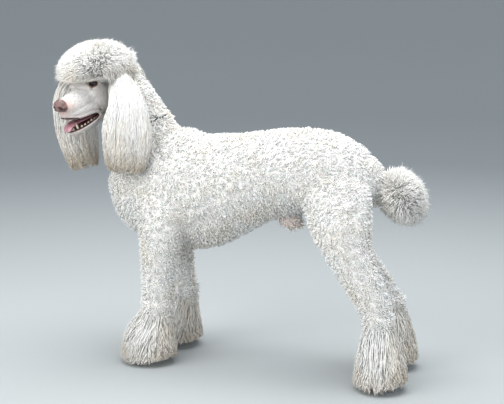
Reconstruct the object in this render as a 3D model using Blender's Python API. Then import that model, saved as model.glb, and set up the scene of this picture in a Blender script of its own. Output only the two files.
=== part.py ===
"""A standard poodle standing still, life size, in a short clip: topknot, long ears, full feet and a tail pompon.

Metres, +Z up. The dog faces -X, its left side is at -Y, and its soles stand on z = 0.
"""

import math
import random

import bmesh
import bpy
from mathutils import Matrix, Vector

# Driving dimensions. Heights include the clipped coat.
GAP = 0.0003
LEFT = -1
RIGHT = 1
SIDES = ((LEFT, "left"), (RIGHT, "right"))
FORE_CUT_Z = 0.140
HIND_CUT_Z = 0.150

# The head's own frame: origin in the middle of the skull, forward, left and up axes.
SKULL = Vector((-0.405, -0.045, 0.739))
HEAD_YAW = math.radians(78)
HEAD_PITCH = math.radians(13.5)
EYE_RADIUS = 0.0115
LID_THICKNESS = 0.0020
EYE_SINK = 0.0010
MOUTH_CORNER = (0.048, -0.066)
COLLAR_WIDTH = 0.020
TAG_ANGLE = 205
TAG_RADIUS = 0.014
RING_RADIUS = 0.007

# The triangles that each smooth body is thinned to before its coat is added.
BODY_TRIANGLES = 1900
HEAD_TRIANGLES = 1050

# Locks and clumps of the long coat: how many, and their size.
TOPKNOT_CLUMPS = 28
TOPKNOT_CLUMP_RADIUS = 0.037
POMPON_CLUMPS = 14
POMPON_CLUMP_RADIUS = 0.033
POMPON_CORE = 0.5
TOPKNOT_CORE = 0.70
EAR_ROWS = ((0.22, 0.66, 3), (0.50, 1.00, 3))
EAR_LOCK_WIDTH = 0.058
BELL_LOCKS = 8
BELL_LOCK_WIDTH = 0.070
BELL_REAR_RISE = 0.15
LOCK_TIP_ABOVE_FLOOR = 0.004

# Colours as linear RGB, with roughness.
COAT = ("coat", (0.80, 0.77, 0.72), 0.9)
SKIN_PINK = ("bare_skin", (0.45, 0.26, 0.22), 0.6)
NOSE_BROWN = ("nose_leather", (0.19, 0.085, 0.07), 0.4)
EYE_BROWN = ("eye", (0.035, 0.014, 0.008), 0.1)
TONGUE_PINK = ("tongue", (0.50, 0.19, 0.21), 0.45)
COLLAR_BLACK = ("collar_webbing", (0.015, 0.013, 0.014), 0.7)
RING_STEEL = ("ring_steel", (0.50, 0.50, 0.50), 0.3)
TAG_BLUE = ("tag_enamel", (0.01, 0.05, 0.16), 0.35)


def clear_scene():
    for obj in list(bpy.data.objects):
        bpy.data.objects.remove(obj)


def material(look):
    name, colour, roughness = look
    found = bpy.data.materials.get(name)
    if found:
        return found
    made = bpy.data.materials.new(name)
    made.use_nodes = True
    shader = made.node_tree.nodes["Principled BSDF"]
    shader.inputs["Base Color"].default_value = (*colour, 1)
    shader.inputs["Roughness"].default_value = roughness
    made.diffuse_color = (*colour, 1)
    return made


def object_from(bm, name, look=COAT):
    """A mesh object of triangles made from a bmesh, with its faces pointing out."""
    bmesh.ops.triangulate(bm, faces=bm.faces)
    bmesh.ops.recalc_face_normals(bm, faces=bm.faces)
    mesh = bpy.data.meshes.new(name)
    bm.to_mesh(mesh)
    bm.free()
    mesh.materials.append(material(look))
    obj = bpy.data.objects.new(name, mesh)
    bpy.context.scene.collection.objects.link(obj)
    return obj


def apply_modifiers(obj):
    """Replaces the object's mesh by its evaluated one and drops the modifiers."""
    graph = bpy.context.evaluated_depsgraph_get()
    graph.update()
    mesh = bpy.data.meshes.new_from_object(obj.evaluated_get(graph))
    obj.modifiers.clear()
    obj.data = mesh
    return obj


def drop(*objects):
    for obj in objects:
        bpy.data.objects.remove(obj)


def copy_of(obj, name):
    made = obj.copy()
    made.data = obj.data.copy()
    made.name = name
    bpy.context.scene.collection.objects.link(made)
    return made


def curve_point(points, t):
    """A point at t, from 0 to 1, on the smooth Catmull-Rom curve through rows of numbers."""
    last = len(points) - 1
    at = min(max(t, 0.0), 1.0) * last
    i = min(int(at), last - 1)
    f = at - i
    rows = [points[max(i - 1, 0)], points[i], points[i + 1], points[min(i + 2, last)]]
    weights = (
        0.5 * (-f + 2 * f * f - f**3),
        0.5 * (2 - 5 * f * f + 3 * f**3),
        0.5 * (f + 4 * f * f - 3 * f**3),
        0.5 * (-f * f + f**3),
    )
    return [sum(w * row[k] for w, row in zip(weights, rows)) for k in range(len(points[0]))]


def add_ring(bm, centre, side, over, sides):
    """A closed ring of points: side and over are the half-axes of its ellipse, as vectors."""
    return [
        bm.verts.new(
            centre
            + side * math.cos(2 * math.pi * k / sides)
            + over * math.sin(2 * math.pi * k / sides)
        )
        for k in range(sides)
    ]


def bridge(bm, first, second):
    n = len(first)
    for k in range(n):
        bm.faces.new((first[k], first[(k + 1) % n], second[(k + 1) % n], second[k]))


def add_tube(bm, stations, rings, sides=16, across=Vector((0, 1, 0)), round_ends=(True, True)):
    """A closed tube through stations of x, y, z, half-width across and half-depth, with round ends."""
    previous = None
    made = []
    for i in range(rings + 1):
        t = i / rings
        row = curve_point(stations, t)
        ahead = Vector(curve_point(stations, t + 0.01)[:3]) - Vector(curve_point(stations, t - 0.01)[:3])
        tangent = ahead.normalized()
        side = (across - tangent * across.dot(tangent)).normalized()
        made.append((Vector(row[:3]), tangent, side, tangent.cross(side), row[3], row[4]))
    loops = []
    for i, (centre, tangent, side, over, half_width, half_depth) in enumerate(made):
        end = 0 if i == 0 else 1 if i == rings else None
        if end is not None and round_ends[end]:
            outward = -tangent if end == 0 else tangent
            reach = 0.6 * min(half_width, half_depth)
            steps = [
                (centre + outward * reach * math.sin(a), math.cos(a))
                for a in (math.radians(75), math.radians(45))
            ]
            loops_end = [(p, side * half_width * c, over * half_depth * c) for p, c in steps]
            here = (centre, side * half_width, over * half_depth)
            loops += [*loops_end, here] if end == 0 else [here, *reversed(loops_end)]
        else:
            loops.append((centre, side * half_width, over * half_depth))
    for centre, side, over in loops:
        ring = add_ring(bm, centre, side, over, sides)
        if previous:
            bridge(bm, previous, ring)
        else:
            bm.faces.new(ring)
        previous = ring
    bm.faces.new(previous)


def add_ellipsoid(bm, centre, radii, turn=None, segments=20, rings=12):
    place = Matrix.Translation(centre) @ (turn or Matrix.Identity(4)) @ Matrix.Diagonal((*radii, 1))
    bmesh.ops.create_uvsphere(bm, u_segments=segments, v_segments=rings, radius=1, matrix=place)


def add_box(bm, low, high, place=None):
    size = Vector(high) - Vector(low)
    middle = (Vector(high) + Vector(low)) / 2
    matrix = (place or Matrix.Identity(4)) @ Matrix.Translation(middle) @ Matrix.Diagonal((*size, 1))
    bmesh.ops.create_cube(bm, size=1, matrix=matrix)


def box_object(name, low, high, place=None):
    bm = bmesh.new()
    add_box(bm, low, high, place)
    return object_from(bm, name)


def melt(obj, voxel, smoothings, triangles):
    """Fuses overlapping closed forms into one smooth skin and thins it to about that many triangles."""
    remesh = obj.modifiers.new("fuse", "REMESH")
    remesh.mode = "VOXEL"
    remesh.voxel_size = voxel
    smooth = obj.modifiers.new("smooth", "SMOOTH")
    smooth.factor = 0.5
    smooth.iterations = smoothings
    apply_modifiers(obj)
    faces = sum(len(p.vertices) - 2 for p in obj.data.polygons)
    thin = obj.modifiers.new("thin", "DECIMATE")
    thin.ratio = min(1.0, triangles / faces)
    return apply_modifiers(obj)


def boolean(obj, other, operation, solver="EXACT"):
    modifier = obj.modifiers.new("boolean", "BOOLEAN")
    modifier.operation = operation
    modifier.object = other
    modifier.solver = solver
    return apply_modifiers(obj)


def shell_of(start, seen):
    """The faces joined edge to edge with the one to start from, and the volume that they enclose."""
    seen.add(start)
    shell, queue, volume = [start], [start], 0.0
    while queue:
        face = queue.pop()
        corners = [vert.co for vert in face.verts]
        for b, c in zip(corners[1:], corners[2:]):
            volume += corners[0].dot(b.cross(c)) / 6
        for edge in face.edges:
            for other in edge.link_faces:
                if other not in seen:
                    seen.add(other)
                    shell.append(other)
                    queue.append(other)
    return volume, shell


def keep_largest(obj):
    """Keeps the node's largest closed surface: loose scraps and sealed hollows go."""
    bm = bmesh.new()
    bm.from_mesh(obj.data)
    bmesh.ops.triangulate(bm, faces=bm.faces)
    seen = set()
    shells = [shell_of(face, seen) for face in bm.faces if face not in seen]
    largest = max(shells, key=lambda found: found[0])
    scraps = [face for found in shells if found is not largest for face in found[1]]
    bmesh.ops.delete(bm, geom=scraps, context="FACES")
    loose = [vert for vert in bm.verts if not vert.link_faces]
    bmesh.ops.delete(bm, geom=loose, context="VERTS")
    bm.to_mesh(obj.data)
    bm.free()
    return obj


def grown(obj, distance=GAP):
    """A copy of the object that is larger by the gap that touching nodes keep."""
    made = copy_of(obj, obj.name + "_grown")
    normals = [v.normal.copy() for v in made.data.vertices]
    for vert, normal in zip(made.data.vertices, normals):
        vert.co += normal * distance
    return made


def cut_by(obj, *others, solver="EXACT"):
    """Cuts the object back where it would enter its neighbours."""
    for other in others:
        cutter = grown(other)
        boolean(obj, cutter, "DIFFERENCE", solver)
        drop(cutter)
        keep_largest(obj)
    return obj


def part_off(rest, name, low, high, place=None):
    """Splits rest by a box: returns the node inside it, and leaves rest with a thin gap round the box."""
    node = copy_of(rest, name)
    inside = box_object("inside", low, high, place)
    boolean(node, inside, "INTERSECT")
    margin = Vector((GAP, GAP, GAP))
    outside = box_object("outside", Vector(low) - margin, Vector(high) + margin, place)
    boolean(rest, outside, "DIFFERENCE")
    drop(inside, outside)
    return keep_largest(node)


def head_matrix():
    """Places the head's frame: its x axis runs forward, its y axis to the dog's left, its z axis up."""
    flat = Vector((-math.cos(HEAD_YAW), -math.sin(HEAD_YAW), 0))
    forward = flat * math.cos(HEAD_PITCH) - Vector((0, 0, math.sin(HEAD_PITCH)))
    left = Vector((0, 0, 1)).cross(flat)
    up = forward.cross(left)
    matrix = Matrix((forward, left, up)).transposed().to_4x4()
    matrix.translation = SKULL
    return matrix


HEAD = head_matrix()


def in_head(u, v, w):
    return HEAD @ Vector((u, v, w))


def head_turn(pitch=0.0, yaw=0.0):
    """The head frame's rotation, with a further nod and turn of its own."""
    base = HEAD.to_3x3().to_4x4()
    return base @ Matrix.Rotation(yaw, 4, "Z") @ Matrix.Rotation(-pitch, 4, "Y")


# Each station: x, y, z, half-width across, half-depth. Legs are given for the dog's left side, at -Y.
TORSO = [
    (-0.376, 0, 0.470, 0.040, 0.050),
    (-0.350, 0, 0.466, 0.074, 0.094),
    (-0.305, 0, 0.462, 0.094, 0.134),
    (-0.240, 0, 0.463, 0.103, 0.158),
    (-0.175, 0, 0.460, 0.106, 0.166),
    (-0.110, 0, 0.460, 0.106, 0.157),
    (-0.030, 0, 0.482, 0.102, 0.136),
    (0.050, 0, 0.506, 0.095, 0.118),
    (0.130, 0, 0.522, 0.092, 0.113),
    (0.210, 0, 0.524, 0.092, 0.108),
    (0.272, 0, 0.510, 0.086, 0.094),
    (0.320, 0, 0.490, 0.070, 0.071),
    (0.348, 0, 0.475, 0.046, 0.045),
]
NECK = [
    (-0.255, 0, 0.500, 0.088, 0.120),
    (-0.283, 0, 0.560, 0.086, 0.112),
    (-0.300, -0.002, 0.615, 0.080, 0.098),
    (-0.314, -0.006, 0.665, 0.072, 0.079),
    (-0.333, -0.012, 0.710, 0.065, 0.066),
    (-0.354, -0.016, 0.746, 0.055, 0.054),
]
FORELEG = [
    (-0.238, -0.055, 0.500, 0.030, 0.055),
    (-0.224, -0.074, 0.440, 0.040, 0.068),
    (-0.210, -0.084, 0.385, 0.045, 0.066),
    (-0.209, -0.088, 0.325, 0.045, 0.060),
    (-0.215, -0.086, 0.275, 0.043, 0.053),
    (-0.217, -0.086, 0.220, 0.041, 0.049),
    (-0.218, -0.086, 0.165, 0.040, 0.046),
    (-0.219, -0.086, 0.110, 0.039, 0.045),
]
HINDLEG = [
    (0.262, -0.056, 0.520, 0.030, 0.070),
    (0.266, -0.074, 0.465, 0.043, 0.092),
    (0.282, -0.088, 0.400, 0.049, 0.084),
    (0.300, -0.094, 0.345, 0.047, 0.066),
    (0.325, -0.096, 0.295, 0.044, 0.056),
    (0.352, -0.096, 0.248, 0.041, 0.050),
    (0.371, -0.095, 0.205, 0.040, 0.046),
    (0.380, -0.094, 0.160, 0.039, 0.042),
    (0.381, -0.094, 0.110, 0.038, 0.040),
]
# How far forward of the left legs the right ones are, at each station.
FORE_STANCE = (0.000, 0.008, 0.018, 0.022, 0.024, 0.016, 0.004, 0.000)
HIND_STANCE = (0.010, 0.030, 0.050, 0.060, 0.058, 0.046, 0.028, 0.014, 0.010)
HINDFOOT_FORWARD = 0.010
TAIL = [
    (0.285, 0, 0.560, 0.026, 0.026),
    (0.322, 0, 0.557, 0.021, 0.021),
    (0.345, 0, 0.541, 0.018, 0.018),
    (0.362, 0, 0.517, 0.017, 0.017),
    (0.380, 0, 0.490, 0.017, 0.017),
]
POMPON_CENTRE = Vector((0.407, 0, 0.469))
POMPON_RADII = (0.084, 0.066, 0.064)
FOREPAW = [
    (-0.219, -0.086, 0.165, 0.040, 0.046),
    (-0.220, -0.086, 0.125, 0.041, 0.047),
    (-0.223, -0.086, 0.085, 0.034, 0.038),
    (-0.233, -0.086, 0.045, 0.032, 0.044),
    (-0.237, -0.086, 0.015, 0.033, 0.048),
    (-0.237, -0.086, -0.020, 0.031, 0.045),
]
HINDPAW = [
    (0.380, -0.094, 0.175, 0.039, 0.042),
    (0.380, -0.094, 0.130, 0.039, 0.041),
    (0.379, -0.094, 0.085, 0.031, 0.033),
    (0.373, -0.094, 0.045, 0.030, 0.037),
    (0.371, -0.094, 0.015, 0.031, 0.040),
    (0.371, -0.094, -0.020, 0.029, 0.037),
]
FOREFOOT = [
    (-0.219, -0.086, 0.165, 0.038, 0.044),
    (-0.228, -0.086, 0.120, 0.047, 0.052),
    (-0.241, -0.086, 0.070, 0.055, 0.059),
    (-0.250, -0.086, 0.030, 0.059, 0.062),
    (-0.253, -0.086, -0.020, 0.058, 0.061),
]
HINDFOOT = [
    (0.380, -0.094, 0.175, 0.037, 0.040),
    (0.385, -0.094, 0.120, 0.045, 0.048),
    (0.389, -0.094, 0.070, 0.052, 0.054),
    (0.386, -0.094, 0.030, 0.055, 0.053),
    (0.382, -0.094, -0.020, 0.052, 0.048),
]
EAR_LEFT = [
    (-0.338, -0.062, 0.772, 0.020, 0.012),
    (-0.311, -0.088, 0.735, 0.034, 0.020),
    (-0.289, -0.106, 0.685, 0.048, 0.026),
    (-0.286, -0.114, 0.632, 0.061, 0.029),
    (-0.286, -0.116, 0.580, 0.060, 0.028),
    (-0.292, -0.114, 0.540, 0.046, 0.023),
    (-0.297, -0.110, 0.518, 0.028, 0.015),
]
EAR_RIGHT = [
    (-0.460, -0.034, 0.768, 0.026, 0.014),
    (-0.478, -0.026, 0.738, 0.048, 0.025),
    (-0.489, -0.020, 0.692, 0.062, 0.033),
    (-0.489, -0.016, 0.636, 0.064, 0.035),
    (-0.483, -0.014, 0.584, 0.059, 0.034),
    (-0.475, -0.012, 0.535, 0.045, 0.028),
    (-0.467, -0.012, 0.500, 0.023, 0.016),
]
# The muzzle, the lower jaw, what fills the mouth before it is cut open, and the tongue, in the head's frame.
MUZZLE = [
    (0.030, 0, -0.020, 0.040, 0.034),
    (0.070, 0, -0.022, 0.036, 0.031),
    (0.110, 0, -0.024, 0.032, 0.027),
    (0.143, 0, -0.026, 0.028, 0.022),
]
JAW = [
    (0.000, 0, -0.072, 0.034, 0.022),
    (0.050, 0, -0.084, 0.029, 0.018),
    (0.100, 0, -0.090, 0.024, 0.0145),
    (0.132, 0, -0.092, 0.019, 0.011),
]
MOUTH_FILL = [
    (0.020, 0, -0.055, 0.032, 0.020),
    (0.060, 0, -0.062, 0.029, 0.020),
    (0.100, 0, -0.066, 0.024, 0.022),
    (0.128, 0, -0.066, 0.019, 0.020),
]
TONGUE = [
    (0.016, 0, -0.072, 0.014, 0.0055),
    (0.050, 0, -0.074, 0.0170, 0.0060),
    (0.090, 0, -0.073, 0.0175, 0.0050),
    (0.120, 0, -0.074, 0.0165, 0.0042),
    (0.140, 0, -0.079, 0.0145, 0.0038),
    (0.149, 0, -0.088, 0.0105, 0.0032),
]
TOPKNOT_CENTRE = (0.000, 0, 0.044)
TOPKNOT_RADII = (0.112, 0.108, 0.068)
NAPE_CENTRE = Vector((-0.346, 0.0, 0.746))
NAPE_RADII = (0.057, 0.072, 0.060)
MANE_CENTRE = Vector((-0.301, 0.0, 0.687))
MANE_RADII = (0.046, 0.060, 0.066)
SHEATH_CENTRE = Vector((0.122, 0.0, 0.392))
SHEATH_RADII = (0.036, 0.020, 0.022)
SHEATH_TILT = math.radians(12)
EAR_NEIGHBOURS = ("head", "lower_jaw", "neck", "torso", "collar", "tag_ring", "collar_tag")
# Rounded flesh of the skull: place and radii in the head's frame, with paired ones given for the left.
SKULL_FORMS = [
    ((-0.012, 0, 0.004), (0.070, 0.050, 0.050)),
    ((0.034, 0, 0.008), (0.044, 0.039, 0.028)),
    ((0.000, 0, -0.060), (0.046, 0.036, 0.030)),
]
PAIRED_FORMS = [
    ((0.046, 0.027, 0.012), (0.030, 0.019, 0.020)),
    ((0.012, 0.030, -0.030), (0.052, 0.024, 0.040)),
    ((0.030, 0.032, -0.010), (0.040, 0.018, 0.024)),
]


def on_side(stations, side, stance=None):
    """The stations of a limb on the side asked for, those of the right set forward as its stance says."""
    if side == LEFT:
        return stations
    forward = stance or [0] * len(stations)
    return [(x - f, -y, z, w, d) for (x, y, z, w, d), f in zip(stations, forward)]


def at_head(stations):
    return [(*in_head(*row[:3]), *row[3:]) for row in stations]


def body_form():
    """Trunk, neck and legs melted into one form, which is then parted by thin cuts."""
    bm = bmesh.new()
    add_tube(bm, TORSO, 40, sides=28)
    add_tube(bm, NECK, 16, sides=24)
    for side, _ in SIDES:
        add_tube(bm, on_side(FORELEG, side, FORE_STANCE), 22, sides=20)
        add_tube(bm, on_side(HINDLEG, side, HIND_STANCE), 26, sides=20)
    add_ellipsoid(bm, SHEATH_CENTRE, SHEATH_RADII, Matrix.Rotation(SHEATH_TILT, 4, "Y"))
    return melt(object_from(bm, "torso"), 0.007, 9, BODY_TRIANGLES)


def cut_frame(low_point, high_point):
    """A frame whose x axis runs from one point to the other in the XZ plane, its z axis up from it."""
    along = Vector(high_point) - Vector(low_point)
    angle = math.atan2(along.z, along.x)
    return Matrix.Translation(low_point) @ Matrix.Rotation(-angle, 4, "Y")


def part_body():
    """Parts the body into torso, neck and legs."""
    torso = body_form()
    nodes = {"torso": torso}
    neck_base = cut_frame((-0.405, 0, 0.505), (-0.185, 0, 0.630))
    nodes["neck"] = part_off(torso, "neck", (-0.3, -0.3, 0), (0.6, 0.3, 0.6), neck_base)
    fore_top = cut_frame((-0.30, 0, 0.340), (-0.12, 0, 0.340))
    hind_top = cut_frame((0.13, 0, 0.425), (0.39, 0, 0.445))
    for side, word in SIDES:
        near, far = sorted((side * 0.046, side * 0.30))
        name = "foreleg_" + word
        nodes[name] = part_off(torso, name, (-0.03, near, -0.4), (0.153, far, 0), fore_top)
        near, far = sorted((side * 0.030, side * 0.30))
        name = "hindleg_" + word
        nodes[name] = part_off(torso, name, (0.0, near, -0.5), (0.40, far, 0), hind_top)
    keep_largest(torso)
    return nodes


def cut_flat(obj, low, high, place=None):
    """Cuts away what lies inside a box."""
    cutter = box_object("cutter", low, high, place)
    boolean(obj, cutter, "DIFFERENCE")
    drop(cutter)
    return obj


def mesh_between(rings, root, tip):
    """A closed mesh over rings of points, with a single point at each end."""
    bm = bmesh.new()
    loops = [[bm.verts.new(p) for p in ring] for ring in rings]
    for first, second in zip(loops, loops[1:]):
        bridge(bm, first, second)
    for loop, end in ((loops[0], root), (loops[-1], tip)):
        point = bm.verts.new(end)
        for k in range(len(loop)):
            bm.faces.new((loop[k], loop[(k + 1) % len(loop)], point))
    return object_from(bm, "lock")


def clump(root, tip, radius, sides=5):
    """A rounded clump of curls: an egg with its thick end out."""
    along = (tip - root).normalized()
    side = along.orthogonal().normalized()
    over = along.cross(side)
    rings = []
    for t, share in ((0.12, 0.60), (0.58, 1.0), (0.90, 0.66)):
        centre = root.lerp(tip, t)
        ring = []
        for k in range(sides):
            a = 2 * math.pi * (k + 0.5 * (len(rings) % 2)) / sides
            ring.append(centre + (side * math.cos(a) + over * math.sin(a)) * radius * share)
        rings.append(ring)
    return mesh_between(rings, root, tip)


def lock(path, flat, width, thickness):
    """A flat, tapered lock along a bent path of points, its broad side facing along flat."""
    rings = []
    for i, share in ((1, 0.80), (2, 1.0), (3, 0.74)):
        tangent = (path[i + 1] - path[i - 1]).normalized()
        side = tangent.cross(flat).normalized()
        over = side.cross(tangent)
        half, deep = side * width * share / 2, over * thickness * share / 2
        rings.append([path[i] + half, path[i] + deep, path[i] - half, path[i] - deep])
    return mesh_between(rings, path[0], path[4])


def spread_over(form, count, keep):
    """Evenly spread vertices of a form, each with its normal: the farthest from those taken is next."""
    points = [(v.co.copy(), v.normal.copy()) for v in form.data.vertices if keep(v.co, v.normal)]
    taken = [points[0]]
    gaps = [(p - taken[0][0]).length for p, _ in points]
    while len(taken) < min(count, len(points)):
        k = max(range(len(points)), key=lambda n: gaps[n])
        taken.append(points[k])
        gaps = [min(g, (p - points[k][0]).length) for g, (p, _) in zip(gaps, points)]
    return taken


def clumped(name, form, core, count, radius, depth, keep, draw):
    """A core with rounded clumps set close all over it, out to the surface of the form."""
    pieces = []
    for point, normal in spread_over(form, count, keep):
        lean = Vector((draw.uniform(-1, 1), draw.uniform(-1, 1), draw.uniform(-1, 1))) * 0.010
        root = point - normal * depth + lean
        tip = point + normal * draw.uniform(-0.002, 0.005)
        pieces.append(clump(root, tip, radius * draw.uniform(0.88, 1.10)))
    core.name = name
    drop(form)
    return fuse(core, pieces)


def tube_point(stations, t, angle, across, scale=1.0):
    """A point on a tube's skin, or inside it by a scale, and the direction that faces out there."""
    row = curve_point(stations, t)
    ahead = Vector(curve_point(stations, t + 0.01)[:3]) - Vector(curve_point(stations, t - 0.01)[:3])
    tangent = ahead.normalized()
    side = (across - tangent * across.dot(tangent)).normalized()
    over = tangent.cross(side)
    out = side * row[3] * math.cos(angle) + over * row[4] * math.sin(angle)
    facing = (side * row[4] * math.cos(angle) + over * row[3] * math.sin(angle)).normalized()
    return Vector(row[:3]) + out * scale, facing


def hanging_lock(stations, across, angle, start, end, width, draw):
    """A lock rooted inside a tube-shaped form that runs down its skin from start to end."""
    swing = draw.uniform(-0.22, 0.22)
    path = []
    for t, scale, turn in (
        (start, 0.55, 0.0),
        (start + (end - start) * 0.20, 0.90, 0.3),
        (start + (end - start) * 0.50, 0.98, -0.2),
        (start + (end - start) * 0.80, 1.00, 0.5),
        (end, 0.95, 0.1),
    ):
        point, facing = tube_point(stations, t, angle + swing * turn, across, scale)
        path.append(point)
    return lock(path, facing, width, width * 0.36)


def scaled(stations, share_wide, share_deep):
    return [(x, y, z, w * share_wide, d * share_deep) for x, y, z, w, d in stations]


def foot(name, stations, core_stations, top, draw):
    """A paw under a bell of long locks, flat where it stands on the floor and where it meets the leg."""
    bm = bmesh.new()
    add_tube(bm, core_stations, 6, sides=12, round_ends=(False, False))
    node = object_from(bm, name)
    cut_flat(node, (-1, -1, -1), (1, 1, 0))
    across = Vector((0, 1, 0))
    high, low = stations[0][2], stations[-1][2]
    end = (high - LOCK_TIP_ABOVE_FLOOR) / (high - low)
    start = (high - top + 0.004) / (high - low)
    pieces = []
    for k in range(BELL_LOCKS):
        angle = 2 * math.pi * (k + draw.uniform(-0.15, 0.15)) / BELL_LOCKS
        finish = end - draw.uniform(0, 0.05) - BELL_REAR_RISE * max(0.0, math.sin(angle))
        width = BELL_LOCK_WIDTH * draw.uniform(0.92, 1.08)
        pieces.append(hanging_lock(stations, across, angle, start, finish, width, draw))
    fuse(node, pieces)
    return keep_largest(cut_flat(node, (-1, -1, top - GAP), (1, 1, 1)))


def feet(nodes, draw):
    for side, word in SIDES:
        for leg, stations, core, cut, forward in (
            ("fore", FOREFOOT, FOREPAW, FORE_CUT_Z, 0),
            ("hind", HINDFOOT, HINDPAW, HIND_CUT_Z, HINDFOOT_FORWARD),
        ):
            keep_largest(cut_flat(nodes[f"{leg}leg_{word}"], (-1, -1, -1), (1, 1, cut)))
            name = f"{leg}foot_{word}"
            bell = on_side(stations, side, [forward] * len(stations))
            paw = on_side(core, side, [forward] * len(core))
            nodes[name] = foot(name, bell, paw, cut, draw)


def tail(nodes, draw):
    """The clipped dock of the tail and the pompon at its end."""
    bm = bmesh.new()
    add_tube(bm, TAIL, 12, sides=14)
    nodes["tail"] = cut_by(object_from(bm, "tail"), nodes["torso"])
    turn = Matrix.Rotation(math.radians(55), 4, "Y")
    made = []
    for share in (1.0, POMPON_CORE):
        bm = bmesh.new()
        add_ellipsoid(bm, POMPON_CENTRE, [r * share for r in POMPON_RADII], turn, 10, 7)
        made.append(object_from(bm, "pompon_form"))
    form, core = made
    node = clumped(
        "tail_pompon", form, core, POMPON_CLUMPS, POMPON_CLUMP_RADIUS, 0.048, lambda p, n: True, draw
    )
    nodes["tail_pompon"] = cut_by(node, nodes["tail"], nodes["torso"], solver="MANIFOLD")


def prism(name, outline, half_width):
    """A closed prism across the head: its outline is in the head's forward and up axes."""
    bm = bmesh.new()
    ends = [[bm.verts.new(in_head(u, v, w)) for u, w in outline] for v in (-half_width, half_width)]
    bridge(bm, *ends)
    for end in ends:
        bm.faces.new(end)
    return object_from(bm, name)


def nose():
    """The nose leather, with a comma of a nostril on each side."""
    turn = head_turn()
    bm = bmesh.new()
    add_ellipsoid(bm, in_head(0.156, 0, -0.016), (0.015, 0.0185, 0.0165), turn)
    for side in (1, -1):
        add_ellipsoid(bm, in_head(0.156, side * 0.0115, -0.021), (0.011, 0.009, 0.0105), turn)
    node = melt(object_from(bm, "nose", NOSE_BROWN), 0.0016, 3, 260)
    for side in (1, -1):
        bm = bmesh.new()
        add_ellipsoid(bm, in_head(0.170, side * 0.0085, -0.0195), (0.009, 0.0042, 0.0048), turn, 10, 6)
        cutter = object_from(bm, "nostril")
        boolean(node, cutter, "DIFFERENCE")
        drop(cutter)
        slit = (
            (*in_head(0.166, side * 0.0100, -0.0205), 0.0022, 0.0030),
            (*in_head(0.166, side * 0.0150, -0.0225), 0.0022, 0.0030),
            (*in_head(0.160, side * 0.0190, -0.0245), 0.0018, 0.0024),
        )
        bm = bmesh.new()
        add_tube(bm, slit, 5, 8, HEAD.to_3x3() @ Vector((0, 0, 1)))
        cutter = object_from(bm, "nostril")
        boolean(node, cutter, "DIFFERENCE")
        drop(cutter)
    return keep_largest(node)


def head_form():
    """Skull, muzzle, cheeks and lower jaw melted into one form with the mouth still filled."""
    turn = head_turn()
    bm = bmesh.new()
    for centre, radii in SKULL_FORMS:
        add_ellipsoid(bm, in_head(*centre), radii, turn)
    for (u, v, w), radii in PAIRED_FORMS:
        for side in (1, -1):
            add_ellipsoid(bm, in_head(u, side * v, w), radii, turn)
    across = HEAD.to_3x3() @ Vector((0, 1, 0))
    for stations in (MUZZLE, JAW, MOUTH_FILL):
        add_tube(bm, at_head(stations), 12, 20, across)
    return melt(object_from(bm, "head"), 0.0028, 7, HEAD_TRIANGLES)


def ray_to_surface(obj, start, direction):
    """Where a ray from inside the object leaves it."""
    hit, point, _, _ = obj.ray_cast(start, direction)
    return point if hit else start


def eye(head, side, word):
    """An eyeball set in the head's surface, with lids round its almond opening. Returns the eye's node."""
    axes = HEAD.to_3x3()
    outward = (axes @ Vector((0.80, side * 0.58, 0.05))).normalized()
    start = in_head(0.030, side * 0.017, 0.014)
    centre = ray_to_surface(head, start, outward) - outward * (EYE_RADIUS + EYE_SINK)
    bm = bmesh.new()
    add_ellipsoid(bm, centre, [EYE_RADIUS] * 3, None, 14, 9)
    ball = object_from(bm, "eye_" + word, EYE_BROWN)
    bm = bmesh.new()
    add_ellipsoid(bm, centre, [EYE_RADIUS + LID_THICKNESS] * 3, None, 12, 8)
    lids = object_from(bm, "lids")
    boolean(head, lids, "UNION")
    along = (axes @ Vector((-0.58 * side, 0.80, 0.10))).normalized()
    along = (along - outward * along.dot(outward)).normalized()
    over = outward.cross(along)
    bm = bmesh.new()
    rings = []
    for reach in (0.004, 0.030):
        ring = []
        for k in range(14):
            a = 2 * math.pi * k / 14
            high = 0.0058 if math.sin(a) > 0 else 0.0046
            spread = 1 + reach * 6
            offset = along * 0.0098 * math.cos(a) + over * high * math.sin(a) * abs(math.sin(a)) ** 0.3
            ring.append(bm.verts.new(centre + outward * reach + offset * spread))
        rings.append(ring)
    bridge(bm, *rings)
    for ring in rings:
        bm.faces.new(ring)
    opening = object_from(bm, "opening")
    boolean(head, opening, "DIFFERENCE")
    drop(lids, opening)
    cut_by(head, ball)
    return ball


def add_cone(bm, root, tip, radius, sides=6):
    """A pointed tooth, blunt by a fifth of its root's width."""
    root, tip = Vector(root), Vector(tip)
    along = (tip - root).normalized()
    side = along.orthogonal().normalized()
    over = along.cross(side)
    middle = root.lerp(tip, 0.55)
    rings = [
        add_ring(bm, place, side * r, over * r, sides)
        for place, r in ((root, radius), (middle, radius * 0.75), (tip, radius * 0.22))
    ]
    for first, second in zip(rings, rings[1:]):
        bridge(bm, first, second)
    bm.faces.new(rings[0])
    bm.faces.new(rings[-1])


def fuse(node, pieces):
    """Joins a list of closed mesh objects to a node by one Boolean union on their collection."""
    group = bpy.data.collections.new("pieces")
    bpy.context.scene.collection.children.link(group)
    for piece in pieces:
        for held_by in list(piece.users_collection):
            held_by.objects.unlink(piece)
        group.objects.link(piece)
    modifier = node.modifiers.new("fuse", "BOOLEAN")
    modifier.operation = "UNION"
    modifier.operand_type = "COLLECTION"
    modifier.collection = group
    modifier.solver = "MANIFOLD"
    apply_modifiers(node)
    drop(*pieces)
    bpy.data.collections.remove(group)
    return keep_largest(node)


def tooth(root, tip, radius):
    bm = bmesh.new()
    add_cone(bm, in_head(*root), in_head(*tip), radius)
    return object_from(bm, "tooth")


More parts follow.
